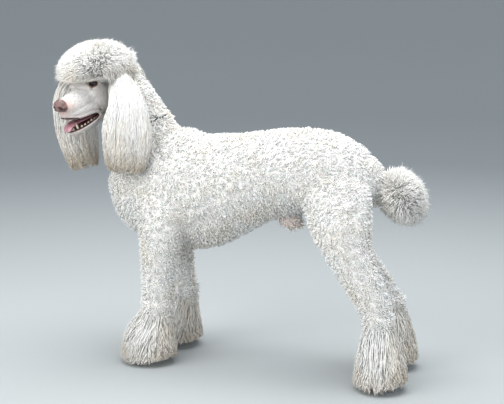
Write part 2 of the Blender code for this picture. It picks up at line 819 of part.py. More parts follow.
def upper_teeth():
    made = []
    for side in (1, -1):
        made.append(tooth((0.132, side * 0.0180, -0.040), (0.135, side * 0.0185, -0.0555), 0.0036))
        for k in range(3):
            u = 0.112 - 0.017 * k
            v = side * (0.0205 + 0.0022 * k)
            made.append(tooth((u, v, -0.046), (u, v, -0.0555 - 0.0010 * k), 0.0042))
    return made


def lower_teeth():
    made = []
    for side in (1, -1):
        made.append(tooth((0.121, side * 0.0130, -0.090), (0.128, side * 0.0155, -0.066), 0.0042))
        for k in range(3):
            u = 0.105 - 0.016 * k
            v = side * (0.0165 + 0.0022 * k)
            made.append(tooth((u, v, -0.085), (u, v, -0.0725), 0.0040))
    for k in range(6):
        a = math.radians(-50 + 20 * k)
        place = (0.121 + 0.012 * math.cos(a), 0.0105 * math.sin(a))
        made.append(tooth((*place, -0.090), (place[0] + 0.001, place[1], -0.0775), 0.0020))
    return made


def tongue():
    bm = bmesh.new()
    add_tube(bm, at_head(TONGUE), 10, 10, HEAD.to_3x3() @ Vector((0, 1, 0)))
    return object_from(bm, "tongue", TONGUE_PINK)


def head(nodes):
    """The head, its lower jaw, and what sits in them."""
    node = head_form()
    nodes["nose"] = nose()
    cut_by(node, nodes["nose"])
    for side, word in ((1, "left"), (-1, "right")):
        nodes["eye_" + word] = eye(node, side, word)
    u, w = MOUTH_CORNER
    lower = [(0.10, -0.079), (0.14, -0.085), (0.21, -0.087)]
    upper = [(0.21, -0.044), (0.14, -0.047), (0.10, -0.054)]
    mouth = prism("mouth", [(u, w), *lower, *upper], 0.08)
    boolean(node, mouth, "DIFFERENCE")
    throat = prism("throat", [(0.012, -0.078), (0.13, -0.080), (0.13, -0.050), (0.012, -0.058)], 0.0175)
    boolean(node, throat, "DIFFERENCE")
    drop(mouth, throat)
    jaw = part_off(node, "lower_jaw", (u - 0.004, -0.1, -0.25), (0.25, 0.1, w), HEAD)
    keep_largest(node)
    fuse(node, upper_teeth())
    fuse(jaw, lower_teeth())
    nodes["tongue"] = tongue()
    nodes["head"] = cut_by(node, nodes["tongue"])
    nodes["lower_jaw"] = cut_by(jaw, nodes["tongue"])


def ear_lock_angles(count, phase):
    """Angles round an ear's flat tube: most on its outer face, fewer on the inner one."""
    outer = [math.pi * (k + 0.5 + phase) / count for k in range(count)]
    inner = [-math.pi * (k + 0.5) / (count - 1) for k in range(count - 1)]
    return outer + inner


def ears(nodes, draw):
    """Hanging ears: a flat leather under long locks that lie over one another."""
    for word, stations, across in (
        ("left", EAR_LEFT, Vector((0.90, 0.30, 0))),
        ("right", EAR_RIGHT, Vector((0.45, 0.89, 0))),
    ):
        across = across.normalized()
        bm = bmesh.new()
        add_tube(bm, scaled(stations, 0.66, 0.50)[:5], 7, 10, across)
        name = "ear_" + word
        core = object_from(bm, name)
        pieces = []
        for row, (start, end, count) in enumerate(EAR_ROWS):
            for angle in ear_lock_angles(count, 0.12 * row):
                begin = start + draw.uniform(-0.03, 0.03)
                finish = end - draw.uniform(0.0, 0.05)
                width = EAR_LOCK_WIDTH * draw.uniform(0.92, 1.12)
                pieces.append(hanging_lock(stations, across, angle, begin, finish, width, draw))
        fuse(core, pieces)
        others = [nodes[n] for n in EAR_NEIGHBOURS]
        nodes[name] = cut_by(core, *others)


def topknot(nodes, draw):
    """The domed topknot of rounded clumps, from the brow over the ears' roots and down the nape."""
    turn = head_turn(math.radians(-8))
    made = []
    for share in (1.0, TOPKNOT_CORE):
        bm = bmesh.new()
        for centre, radii, pose in (
            (in_head(*TOPKNOT_CENTRE), TOPKNOT_RADII, turn),
            (NAPE_CENTRE, NAPE_RADII, None),
            (MANE_CENTRE, MANE_RADII, None),
        ):
            add_ellipsoid(bm, centre, [r * share for r in radii], pose, 16, 10)
        melted = melt(object_from(bm, "topknot_form"), 0.007, 3, 260 if share < 1 else 3000)
        made.append(keep_largest(melted))
    form, core = made
    inverse = HEAD.inverted()

    def hairy(point, normal):
        """Above the brow and the ears' roots in front, and down the nape behind."""
        local = inverse @ point
        return local.z > 0.030 or (local.x < -0.03 and local.z > -0.01)

    node = clumped(
        "topknot", form, core, TOPKNOT_CLUMPS, TOPKNOT_CLUMP_RADIUS, 0.056, hairy, draw
    )
    cut_flat(node, (0.045, -0.2, -0.2), (0.3, 0.2, 0.028), HEAD)
    others = [nodes[n] for n in ("head", "neck", "ear_left", "ear_right", "eye_left", "eye_right")]
    nodes["topknot"] = cut_by(node, *others, solver="MANIFOLD")


def collar(nodes):
    """A webbing collar round the neck, with a ring and a round tag at the front."""
    neck = nodes["neck"]
    frame = cut_frame((-0.402, 0, 0.543), (-0.220, 0, 0.660))
    centre = frame @ Vector((0.105, 0, 0))
    along = (frame.to_3x3() @ Vector((1, 0, 0))).normalized()
    axis = along.cross(Vector((0, 1, 0)))
    count = 28
    bm = bmesh.new()
    rings = []
    for k in range(count):
        a = 2 * math.pi * k / count
        out = (along * math.cos(a) + Vector((0, 1, 0)) * math.sin(a)).normalized()
        ring = []
        for depth, height in ((-0.003, -1), (0.0018, -1), (0.0018, 1), (-0.003, 1)):
            middle = centre + axis * height * COLLAR_WIDTH / 2
            reach = (ray_to_surface(neck, middle, out) - middle).length
            ring.append(bm.verts.new(middle + out * (reach + depth)))
        rings.append(ring)
    for k in range(count):
        bridge(bm, rings[k], rings[(k + 1) % count])
    nodes["collar"] = object_from(bm, "collar", COLLAR_BLACK)
    cut_by(neck, nodes["collar"])
    tag(nodes, centre, along, axis)


def tag(nodes, centre, along, axis):
    """A split ring and a round tag that hang at the collar's front left."""
    a = math.radians(TAG_ANGLE)
    out = (along * math.cos(a) + Vector((0, 1, 0)) * math.sin(a)).normalized()
    edge = ray_to_surface(nodes["collar"], centre + out * 0.2, -out) - axis * COLLAR_WIDTH / 2
    down = Vector((0, 0, -1))
    side = out.cross(down).normalized()
    out = down.cross(side).normalized()
    ring_at = edge + down * (RING_RADIUS - 0.002) + out * 0.0015
    bm = bmesh.new()
    loops = []
    for k in range(16):
        b = 2 * math.pi * k / 16
        ray = down * math.cos(b) + out * math.sin(b)
        loops.append(add_ring(bm, ring_at + ray * RING_RADIUS, ray * 0.0010, side * 0.0010, 6))
    for k in range(16):
        bridge(bm, loops[k], loops[(k + 1) % 16])
    ring = object_from(bm, "tag_ring", RING_STEEL)
    nodes["tag_ring"] = cut_by(ring, nodes["collar"], nodes["torso"], nodes["neck"])
    tag_at = ring_at + down * (RING_RADIUS + TAG_RADIUS - 0.003) + out * 0.001
    bm = bmesh.new()
    loops = [
        add_ring(bm, tag_at + out * h, down * (TAG_RADIUS - r), side * (TAG_RADIUS - r), 18)
        for h, r in ((-0.0010, 0.0004), (-0.0006, 0), (0.0006, 0), (0.0010, 0.0004))
    ]
    for first, second in zip(loops, loops[1:]):
        bridge(bm, first, second)
    bm.faces.new(loops[0])
    bm.faces.new(loops[-1])
    disc = object_from(bm, "collar_tag", TAG_BLUE)
    nodes["collar_tag"] = cut_by(disc, nodes["tag_ring"], nodes["torso"], nodes["neck"])


def stand_at_origin(nodes):
    """Moves the whole dog so that the origin is under the middle of its box, on the floor."""
    corners = [Vector(corner) for node in nodes for corner in node.bound_box]
    low = [min(c[k] for c in corners) for k in range(2)]
    high = [max(c[k] for c in corners) for k in range(2)]
    shift = Vector((-(low[0] + high[0]) / 2, -(low[1] + high[1]) / 2, 0))
    for node in nodes:
        node.data.transform(Matrix.Translation(shift))
    between_feet = bpy.data.objects.new("between_feet", None)
    between_feet.location = shift
    bpy.context.scene.collection.objects.link(between_feet)


def main():
    clear_scene()
    draw = random.Random(7)
    nodes = part_body()
    feet(nodes, draw)
    tail(nodes, draw)
    head(nodes)
    nodes["neck"] = cut_by(nodes["neck"], nodes["head"], nodes["lower_jaw"])
    collar(nodes)
    ears(nodes, draw)
    topknot(nodes, draw)
    stand_at_origin(nodes.values())
    for node in nodes.values():
        node.data.set_sharp_from_angle(angle=math.radians(40))


main()
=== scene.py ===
"""The looks of a life-size standard poodle: skin, face, curly coat, ears, topknot, full feet and pompon.

Metres, +Z up. The dog faces -X and turns its head to its left, at -Y.
"""

import math

import bmesh
import bpy
import numpy as np
from mathutils import Matrix, Vector
from mathutils.bvhtree import BVHTree
from mathutils.kdtree import KDTree


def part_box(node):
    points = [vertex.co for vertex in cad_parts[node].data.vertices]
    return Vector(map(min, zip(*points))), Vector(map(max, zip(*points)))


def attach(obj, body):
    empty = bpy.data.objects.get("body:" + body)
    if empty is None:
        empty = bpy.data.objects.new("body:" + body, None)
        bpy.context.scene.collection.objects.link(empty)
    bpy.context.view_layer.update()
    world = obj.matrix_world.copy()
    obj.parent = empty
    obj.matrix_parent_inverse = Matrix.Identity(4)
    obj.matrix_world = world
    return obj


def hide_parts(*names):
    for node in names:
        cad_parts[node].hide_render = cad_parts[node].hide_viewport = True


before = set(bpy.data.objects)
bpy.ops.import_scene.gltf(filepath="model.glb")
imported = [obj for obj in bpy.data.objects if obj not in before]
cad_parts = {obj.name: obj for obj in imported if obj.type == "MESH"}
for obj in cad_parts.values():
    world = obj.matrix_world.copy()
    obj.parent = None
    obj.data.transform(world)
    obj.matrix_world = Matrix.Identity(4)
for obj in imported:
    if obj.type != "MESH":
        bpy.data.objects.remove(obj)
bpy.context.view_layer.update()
draw = np.random.default_rng(11)

# The camera in the dog's own axes, whose origin shift_of_frame finds.
CAMERA_PLACE = Vector((0.9392, -2.5362, 0.8859))
CAMERA_TURN = (math.radians(80.5), 0.0, math.radians(20.0))
CAMERA_LENS = 74.77

# The head's own frame: forward, left and up axes from the middle of the skull.
SKULL = Vector((-0.405, -0.045, 0.739))
HEAD_YAW = math.radians(78)
HEAD_PITCH = math.radians(13.5)

# Depths of the clipped coat and of the face's short hair.
COAT_DEPTH = 0.0095
FACE_DEPTH = 0.0012
SEAM_FILL = 0.0012

# Spacing, length and width of the coat's tufts.
CURL_SPACING = 0.0042
CURL_CLUSTER = 0.0088
CURL_WIDTH = 0.0029
FACE_SPACING = 0.0021
FACE_HAIR = 0.0060
TOPKNOT_SPACING = 0.0023
POMPON_SPACING = 0.0023

PATCH = 0.003

# Stations of x, y, z, half-width across and half-depth, and forms as place and radii, in the dog's axes.
TONGUE = [
    (0.016, 0, -0.072, 0.014, 0.0055),
    (0.050, 0, -0.074, 0.0170, 0.0060),
    (0.090, 0, -0.073, 0.0175, 0.0050),
    (0.120, 0, -0.074, 0.0165, 0.0042),
    (0.140, 0, -0.079, 0.0145, 0.0038),
    (0.149, 0, -0.088, 0.0105, 0.0032),
]
MUZZLE = [
    (0.030, 0, -0.020, 0.040, 0.034),
    (0.070, 0, -0.022, 0.036, 0.031),
    (0.110, 0, -0.024, 0.032, 0.027),
    (0.143, 0, -0.026, 0.028, 0.022),
]
JAW = [
    (0.000, 0, -0.072, 0.034, 0.022),
    (0.050, 0, -0.084, 0.029, 0.018),
    (0.100, 0, -0.090, 0.024, 0.0145),
    (0.132, 0, -0.092, 0.019, 0.011),
]
MOUTH_FILL = [
    (0.020, 0, -0.055, 0.032, 0.020),
    (0.060, 0, -0.062, 0.029, 0.020),
    (0.100, 0, -0.066, 0.024, 0.022),
    (0.128, 0, -0.066, 0.019, 0.020),
]
SKULL_FORMS = [
    ((-0.012, 0, 0.004), (0.070, 0.050, 0.050)),
    ((0.034, 0, 0.008), (0.044, 0.039, 0.028)),
    ((0.000, 0, -0.060), (0.046, 0.036, 0.030)),
]
PAIRED_FORMS = [
    ((0.046, 0.027, 0.012), (0.030, 0.019, 0.020)),
    ((0.012, 0.030, -0.030), (0.052, 0.024, 0.040)),
    ((0.030, 0.032, -0.010), (0.040, 0.018, 0.024)),
]
# The edge of each lip on the left, from the middle of the front to the corner of the mouth.
UPPER_LIP = [
    (0.150, 0.0, -0.0500, 0.0042, 0.0042),
    (0.142, 0.0150, -0.0525, 0.0046, 0.0046),
    (0.118, 0.0255, -0.0560, 0.0052, 0.0052),
    (0.090, 0.0315, -0.0545, 0.0050, 0.0050),
    (0.068, 0.0345, -0.0555, 0.0046, 0.0046),
    (0.053, 0.0350, -0.0620, 0.0042, 0.0042),
    (0.049, 0.0345, -0.0700, 0.0040, 0.0040),
]
LOWER_LIP = [
    (0.142, 0.0, -0.0925, 0.0036, 0.0036),
    (0.133, 0.0130, -0.0925, 0.0038, 0.0038),
    (0.110, 0.0205, -0.0905, 0.0040, 0.0040),
    (0.085, 0.0265, -0.0860, 0.0042, 0.0042),
    (0.064, 0.0320, -0.0790, 0.0042, 0.0042),
    (0.049, 0.0345, -0.0700, 0.0040, 0.0040),
]
# The fullness of the upper lip on the left, and in the middle of the front.
FLEW = [
    (0.138, 0.0120, -0.0410, 0.0120, 0.0105),
    (0.112, 0.0195, -0.0420, 0.0125, 0.0120),
    (0.084, 0.0255, -0.0415, 0.0125, 0.0125),
    (0.058, 0.0300, -0.0440, 0.0105, 0.0140),
]
LIP_FRONT = ((0.139, 0.0, -0.0400), (0.0165, 0.0195, 0.0135))
MOUTH = [
    (0.034, 0, -0.0685, 0.020, 0.0040),
    (0.052, 0, -0.0690, 0.030, 0.0062),
    (0.068, 0, -0.0690, 0.040, 0.0105),
    (0.090, 0, -0.0700, 0.045, 0.0145),
    (0.118, 0, -0.0725, 0.046, 0.0160),
    (0.145, 0, -0.0710, 0.046, 0.0190),
    (0.190, 0, -0.0710, 0.046, 0.0200),
]
THROAT = [
    (0.000, 0, -0.070, 0.016, 0.009),
    (0.040, 0, -0.069, 0.020, 0.011),
    (0.100, 0, -0.070, 0.0175, 0.015),
]
EAR_LEFT = [
    (-0.338, -0.062, 0.772, 0.020, 0.012),
    (-0.311, -0.088, 0.735, 0.034, 0.020),
    (-0.289, -0.106, 0.685, 0.048, 0.026),
    (-0.286, -0.114, 0.632, 0.061, 0.029),
    (-0.286, -0.116, 0.580, 0.060, 0.028),
    (-0.290, -0.114, 0.540, 0.052, 0.024),
    (-0.293, -0.110, 0.512, 0.042, 0.019),
]
EAR_RIGHT = [
    (-0.460, -0.034, 0.768, 0.026, 0.014),
    (-0.478, -0.026, 0.738, 0.048, 0.025),
    (-0.489, -0.020, 0.692, 0.062, 0.033),
    (-0.489, -0.016, 0.636, 0.064, 0.035),
    (-0.483, -0.014, 0.584, 0.059, 0.034),
    (-0.473, -0.012, 0.535, 0.047, 0.029),
    (-0.464, -0.012, 0.500, 0.034, 0.021),
]
EAR_CORE = (0.82, 0.74)
BELL_CORE = 0.78
TOPKNOT_FORM = ((0.000, 0, 0.044), (0.112, 0.108, 0.068))
NAPE_FORM = (Vector((-0.346, 0.0, 0.746)), (0.057, 0.072, 0.060))
MANE_FORM = (Vector((-0.301, 0.0, 0.687)), (0.046, 0.060, 0.066))
TOPKNOT_CORE = 0.66
NAPE_LINE = -0.335
BROW_HEIGHT = 0.034
POMPON_RADII = (0.084, 0.066, 0.064)
POMPON_CORE = 0.5
POMPON_TURN = math.radians(55)
SHEATH_PLACE = Vector((0.122, 0.0, 0.392))
SHEATH_RADII = (0.034, 0.018, 0.020)

# Base colours as linear RGB.
WHITE = (0.92, 0.92, 0.90)
TAN = (0.56, 0.40, 0.22)
SKIN_PALE = (0.86, 0.80, 0.77)
SKIN_PINK = (0.56, 0.33, 0.29)
LIP_DARK = (0.060, 0.030, 0.026)
# Red flesh of the mouth, darkened as painted shade inside it.
SHADED_MOUTH_RED = (0.20, 0.060, 0.055)
# Brown of the tear stains, also used as painted shade on the sheath under the belly.
STAIN_AND_SHADE_BROWN = (0.16, 0.075, 0.035)


def curve_at(stations, t):
    """Rows on the smooth Catmull-Rom curve through the stations, at an array of places from 0 to 1."""
    rows = np.array(stations, float)
    last = len(rows) - 1
    at = np.clip(np.asarray(t, float), 0, 1) * last
    i = np.minimum(at.astype(int), last - 1)
    f = (at - i)[..., None]
    before, after = rows[np.maximum(i - 1, 0)], rows[np.minimum(i + 2, last)]
    return 0.5 * (
        (-f + 2 * f**2 - f**3) * before
        + (2 - 5 * f**2 + 3 * f**3) * rows[i]
        + (f + 4 * f**2 - 3 * f**3) * rows[i + 1]
        + (-(f**2) + f**3) * after
    )


def unit(vectors):
    return vectors / np.maximum(np.linalg.norm(vectors, axis=-1, keepdims=True), 1e-12)


def across_the(vectors, axes):
    """What is left of the vectors at right angles to the axes, as unit vectors."""
    return unit(vectors - axes * (vectors * axes).sum(-1, keepdims=True))


def ring_of(bm, centre, side, over, sides):
    turns = [2 * math.pi * k / sides for k in range(sides)]
    return [bm.verts.new(centre + side * math.cos(a) + over * math.sin(a)) for a in turns]


def bridge(bm, first, second):
    n = len(first)
    for k in range(n):
        bm.faces.new((first[k], first[(k + 1) % n], second[(k + 1) % n], second[k]))


def add_tube(bm, stations, rings, sides=16, across=Vector((0, 1, 0)), round_ends=True):
    """A closed tube through stations of x, y, z, half-width across and half-depth."""
    t = np.arange(rings + 1) / rings
    rows = curve_at(stations, t)
    ahead = curve_at(stations, t + 0.01)[:, :3] - curve_at(stations, t - 0.01)[:, :3]
    loops = []
    for i, (row, along) in enumerate(zip(rows, ahead)):
        centre = Vector(row[:3])
        tangent = Vector(along).normalized()
        side = (across - tangent * across.dot(tangent)).normalized()
        over = tangent.cross(side)
        here = (centre, side * row[3], over * row[4])
        if round_ends and i in (0, rings):
            outward = -tangent if i == 0 else tangent
            reach = 0.6 * min(row[3], row[4])
            ends = []
            for a in (math.radians(75), math.radians(45)):
                shrunk = (side * row[3] * math.cos(a), over * row[4] * math.cos(a))
                ends.append((centre + outward * reach * math.sin(a), *shrunk))
            loops += [*ends, here] if i == 0 else [here, *reversed(ends)]
        else:
            loops.append(here)
    previous = None
    for centre, side, over in loops:
        ring = ring_of(bm, centre, side, over, sides)
        if previous:
            bridge(bm, previous, ring)
        else:
            bm.faces.new(reversed(ring))
        previous = ring
    bm.faces.new(previous)


def add_ellipsoid(bm, centre, radii, turn=None, segments=28, rings=18):
    place = Matrix.Translation(centre) @ (turn or Matrix.Identity(4)) @ Matrix.Diagonal((*radii, 1))
    bmesh.ops.create_uvsphere(bm, u_segments=segments, v_segments=rings, radius=1, matrix=place)


def put_in_order(bm):
    """Lists a sphere's faces in one order. They come in another each time, and the hair follows their order."""
    bm.verts.index_update()
    corners = []
    for face in bm.faces:
        numbers = [vert.index for vert in face.verts]
        first = numbers.index(min(numbers))
        corners.append(numbers[first:] + numbers[:first])
    places = [vert.co.copy() for vert in bm.verts]
    bm.clear()
    verts = [bm.verts.new(place) for place in places]
    for numbers in sorted(corners):
        bm.faces.new([verts[k] for k in numbers])


def shift_of_frame():
    """Where the dog's own axes start in the frame, from the tongue, which both make alike."""
    bm = bmesh.new()
    add_tube(bm, at_head(TONGUE, HEAD_AXES), 10, 10, HEAD_AXES.to_3x3() @ Vector((0, 1, 0)))
    places = np.array([v.co for v in bm.verts])
    bm.free()
    low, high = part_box("tongue")
    return (low + high) / 2 - Vector((places.min(0) + places.max(0)) / 2)


def head_axes():
    """The head's frame in the dog's axes: x runs forward, y to the dog's left, z up."""
    flat = Vector((-math.cos(HEAD_YAW), -math.sin(HEAD_YAW), 0))
    forward = flat * math.cos(HEAD_PITCH) - Vector((0, 0, math.sin(HEAD_PITCH)))
    left = Vector((0, 0, 1)).cross(flat)
    matrix = Matrix((forward, left, forward.cross(left))).transposed().to_4x4()
    matrix.translation = SKULL
    return matrix


def at_head(stations, axes):
    return [(*(axes @ Vector(row[:3])), *row[3:]) for row in stations]


HEAD_AXES = head_axes()
SHIFT = shift_of_frame()
HEAD = Matrix.Translation(SHIFT) @ HEAD_AXES
HEAD_BACK = np.array(HEAD.inverted())
FORWARD, LEFTWARD, UPWARD = (np.array(HEAD.to_3x3().col[k]) for k in range(3))
HEAD_TURN = HEAD.to_3x3().to_4x4()
HEAD_ACROSS = HEAD.to_3x3() @ Vector((0, 1, 0))
HEAD_UP = HEAD.to_3x3() @ Vector((0, 0, 1))


def in_head(u, v, w):
    return HEAD @ Vector((u, v, w))


def head_local(points):
    """Points of the frame in the head's own axes."""
    return points @ HEAD_BACK[:3, :3].T + HEAD_BACK[:3, 3]


def mirrored(stations, side):
    return [(u, side * v, *rest) for u, v, *rest in stations]


def moved(stations):
    return [(x + SHIFT.x, y + SHIFT.y, z + SHIFT.z, *rest) for x, y, z, *rest in stations]


def object_of(bm, name):
    mesh = bpy.data.meshes.new(name)
    bm.to_mesh(mesh)
    bm.free()
    mesh.shade_smooth()
    obj = bpy.data.objects.new(name, mesh)
    bpy.context.scene.collection.objects.link(obj)
    return obj


def apply_modifiers(obj):
    graph = bpy.context.evaluated_depsgraph_get()
    graph.update()
    mesh = bpy.data.meshes.new_from_object(obj.evaluated_get(graph))
    obj.modifiers.clear()
    obj.data = mesh
    return obj


def melt(obj, voxel, smoothings):
    """Fuses overlapping closed forms into one smooth skin."""
    remesh = obj.modifiers.new("fuse", "REMESH")
    remesh.mode = "VOXEL"
    remesh.voxel_size = voxel
    remesh.use_smooth_shade = True
    smooth = obj.modifiers.new("smooth", "SMOOTH")
    smooth.factor = 0.5
    smooth.iterations = smoothings
    return apply_modifiers(obj)


def drop(*objects):
    for obj in objects:
        bpy.data.objects.remove(obj)


def cut_away(obj, cutter):
    """Cuts the cutter's shape out of the object, and drops the cutter."""
    modifier = obj.modifiers.new("cut", "BOOLEAN")
    modifier.operation = "DIFFERENCE"
    modifier.object = cutter
    modifier.solver = "MANIFOLD"
    apply_modifiers(obj)
    drop(cutter)


def points_of(obj):
    """Vertices and their normals as arrays."""
    count = len(obj.data.vertices)
    points, normals = np.empty(count * 3, np.float32), np.empty(count * 3, np.float32)
    obj.data.vertices.foreach_get("co", points)
    obj.data.vertices.foreach_get("normal", normals)
    return points.reshape(-1, 3).astype(float), normals.reshape(-1, 3).astype(float)


def surface_of(obj):
    """Vertices, their normals and triangles as arrays."""
    mesh = obj.data
    mesh.calc_loop_triangles()
    faces = np.empty(len(mesh.loop_triangles) * 3, np.int32)
    mesh.loop_triangles.foreach_get("vertices", faces)
    return (*points_of(obj), faces.reshape(-1, 3))


def tree_of(obj):
    points, _, faces = surface_of(obj)
    return BVHTree.FromPolygons(points.tolist(), faces.tolist())


def shrink(obj, depth):
    points, normals = points_of(obj)
    obj.data.vertices.foreach_set("co", (points - normals * depth).astype(np.float32).ravel())
    obj.data.update()
    return obj


def give(mesh, name, values):
    """Stores one number for each vertex, for a material to read."""
    attribute = mesh.attributes.get(name) or mesh.attributes.new(name, "FLOAT", "POINT")
    attribute.data.foreach_set("value", np.asarray(values, np.float32))


def fade(values, low, high):
    """0 up to low, 1 from high, smooth between them."""
    t = np.clip((values - low) / (high - low), 0, 1)
    return t * t * (3 - 2 * t)


def nearest(points, targets):
    """For each point, the number of the nearest target and its distance."""
    tree = KDTree(len(targets))
    for i, target in enumerate(targets):
        tree.insert(target, i)
    tree.balance()
    found = [tree.find(p) for p in points]
    return np.array([f[1] for f in found]), np.array([f[2] for f in found])


# Materials


def new_material(name):
    made = bpy.data.materials.new(name)
    made.use_nodes = True
    return made, made.node_tree, made.node_tree.nodes["Principled BSDF"]


def node(tree, kind, **values):
    made = tree.nodes.new(kind)
    for key, value in values.items():
        if key in made.inputs:
            made.inputs[key].default_value = value
        else:
            setattr(made, key, value)
    return made


def factor_of(tree, name):
    return node(tree, "ShaderNodeAttribute", attribute_name=name).outputs["Fac"]


def mixed(tree, factor, first, second, mode="MIX"):
    made = node(tree, "ShaderNodeMix", data_type="RGBA", blend_type=mode)
    for socket, value in ((made.inputs[0], factor), (made.inputs[6], first), (made.inputs[7], second)):
        if isinstance(value, bpy.types.NodeSocket):
            tree.links.new(value, socket)
        elif isinstance(value, tuple):
            socket.default_value = (*value, 1)
        else:
            socket.default_value = value
    return made.outputs[2]


def noise(tree, scale, detail=3.0, roughness=0.55):
    place = node(tree, "ShaderNodeTexCoord")
    made = node(tree, "ShaderNodeTexNoise", Scale=scale, Detail=detail, Roughness=roughness)
    tree.links.new(place.outputs["Object"], made.inputs["Vector"])
    return made.outputs["Fac"]


def ramp(tree, value, low, high):
    made = node(tree, "ShaderNodeMapRange", interpolation_type="SMOOTHSTEP")
    made.inputs["From Min"].default_value = low
    made.inputs["From Max"].default_value = high
    tree.links.new(value, made.inputs["Value"])
    return made.outputs["Result"]


def bump(tree, shader, height, strength, distance):
    made = node(tree, "ShaderNodeBump", Strength=strength, Distance=distance)
    tree.links.new(height, made.inputs["Height"])
    tree.links.new(made.outputs["Normal"], shader.inputs["Normal"])


def coat_material():
    """White wool: creamier and tan where it is stained, each tuft a little lighter or darker, and darker
    towards its root as painted shade between the tufts.
    """
    made, tree, shader = new_material("coat")
    cream = mixed(tree, ramp(tree, noise(tree, 14.0), 0.42, 0.75), WHITE, (0.88, 0.84, 0.77))
    stained = mixed(tree, factor_of(tree, "tan"), cream, TAN)
    # Painted shade: the colour that each tuft darkens towards at its root, deep between the tufts.
    dark = mixed(tree, 1.0, stained, (0.84, 0.84, 0.85), "MULTIPLY")
    tree.links.new(mixed(tree, factor_of(tree, "shade"), dark, stained), shader.inputs["Base Color"])
    shader.inputs["Roughness"].default_value = 0.82
    shader.inputs["Sheen Weight"].default_value = 0.25
    shader.inputs["Sheen Roughness"].default_value = 0.5
    shader.inputs["Specular IOR Level"].default_value = 0.25
    return made


def skin_material():
    """Pale pinkish skin, dark at the lips and lids, dark red in the mouth, where its red flesh is darkened as
    painted shade, and wool-coloured under the coat.
    """
    made, tree, shader = new_material("skin")
    mottle = ramp(tree, noise(tree, 90.0, 4.0), 0.45, 0.70)
    face = mixed(tree, mottle, SKIN_PALE, (0.82, 0.74, 0.71))
    face = mixed(tree, factor_of(tree, "pink"), face, SKIN_PINK)
    spots = ramp(tree, noise(tree, 160.0, 2.0), 0.62, 0.72)
    face = mixed(tree, spots, face, (0.50, 0.42, 0.40))
    # Tear stains, and painted shade on the sheath under the belly.
    face = mixed(tree, factor_of(tree, "stain"), face, STAIN_AND_SHADE_BROWN)
    face = mixed(tree, factor_of(tree, "mouth"), face, SHADED_MOUTH_RED)
    face = mixed(tree, factor_of(tree, "lip"), face, LIP_DARK)
    whole = mixed(tree, factor_of(tree, "coat"), face, (0.80, 0.78, 0.75))
    tree.links.new(whole, shader.inputs["Base Color"])
    shader.inputs["Roughness"].default_value = 0.62
    shader.inputs["Subsurface Weight"].default_value = 0.08
    shader.inputs["Subsurface Radius"].default_value = (0.006, 0.002, 0.001)
    bump(tree, shader, noise(tree, 900.0, 3.0), 0.35, 0.0006)
    return made


def leather_material(name, colour, dark, roughness, scale, depth):
    """Moist skin with a fine pebble."""
    made, tree, shader = new_material(name)
    patch = ramp(tree, noise(tree, 60.0, 3.0), 0.40, 0.70)
    base = mixed(tree, patch, colour, dark)
    # The dark number darkens the skin towards the dark colour as painted shade: under the nose, round the
    # nostrils, at the back of the tongue and in its groove.
    tree.links.new(mixed(tree, factor_of(tree, "dark"), base, dark), shader.inputs["Base Color"])
    shader.inputs["Roughness"].default_value = roughness
    cells = node(tree, "ShaderNodeTexVoronoi", Scale=scale)
    place = node(tree, "ShaderNodeTexCoord")
    tree.links.new(place.outputs["Object"], cells.inputs["Vector"])
    bump(tree, shader, cells.outputs["Distance"], 0.5, depth)
    return made


def plain_material(name, colour, roughness, metallic=0.0, scale=300.0, depth=0.0002):
    made, tree, shader = new_material(name)
    worn = tuple(min(1.0, c * 1.35 + 0.01) for c in colour)
    patches = ramp(tree, noise(tree, scale), 0.45, 0.75)
    tree.links.new(mixed(tree, patches, colour, worn), shader.inputs["Base Color"])
    shader.inputs["Roughness"].default_value = roughness
    shader.inputs["Metallic"].default_value = metallic
    bump(tree, shader, noise(tree, scale * 2), 0.3, depth)
    return made


# Coat


def surface_places(surface, spacing, density=None):
    """Evenly spread places on a surface, one in each cell of the spacing, with their normals."""
    points, normals, faces = surface
    corners = points[faces]
    areas = np.linalg.norm(np.cross(corners[:, 1] - corners[:, 0], corners[:, 2] - corners[:, 0]), axis=1) / 2
    if density is not None:
        areas = areas * density(corners.mean(1), unit(normals[faces].mean(1)))
    count = int(4 * areas.sum() / spacing**2)
    pick = draw.choice(len(faces), count, p=areas / areas.sum())
    a, b = draw.random((2, count))
    over = a + b > 1
    a[over], b[over] = 1 - a[over], 1 - b[over]
    weights = np.stack([1 - a - b, a, b], 1)[:, :, None]
    at = (corners[pick] * weights).sum(1)
    facing = unit((normals[faces[pick]] * weights).sum(1))
    _, first = np.unique(np.floor(at / (spacing * 1.22)).astype(int), axis=0, return_index=True)
    return at[first], facing[first]


def unwrap(points, normals):
    """Places on a box unwrap of the skin: six charts side by side, by which way the skin faces."""
    axis = np.abs(normals).argmax(1)
    rows = np.arange(len(points))
    chart = axis * 2 + (normals[rows, axis] > 0)
    low, high = points.min(0), points.max(0)
    share = (points - low) / np.maximum(high - low, 1e-6)
    u, v = share[rows, (axis + 1) % 3], share[rows, (axis + 2) % 3]
    return np.stack([(chart % 3 + 0.02 + 0.96 * u) / 3, (chart // 3 + 0.02 + 0.96 * v) / 2], 1)


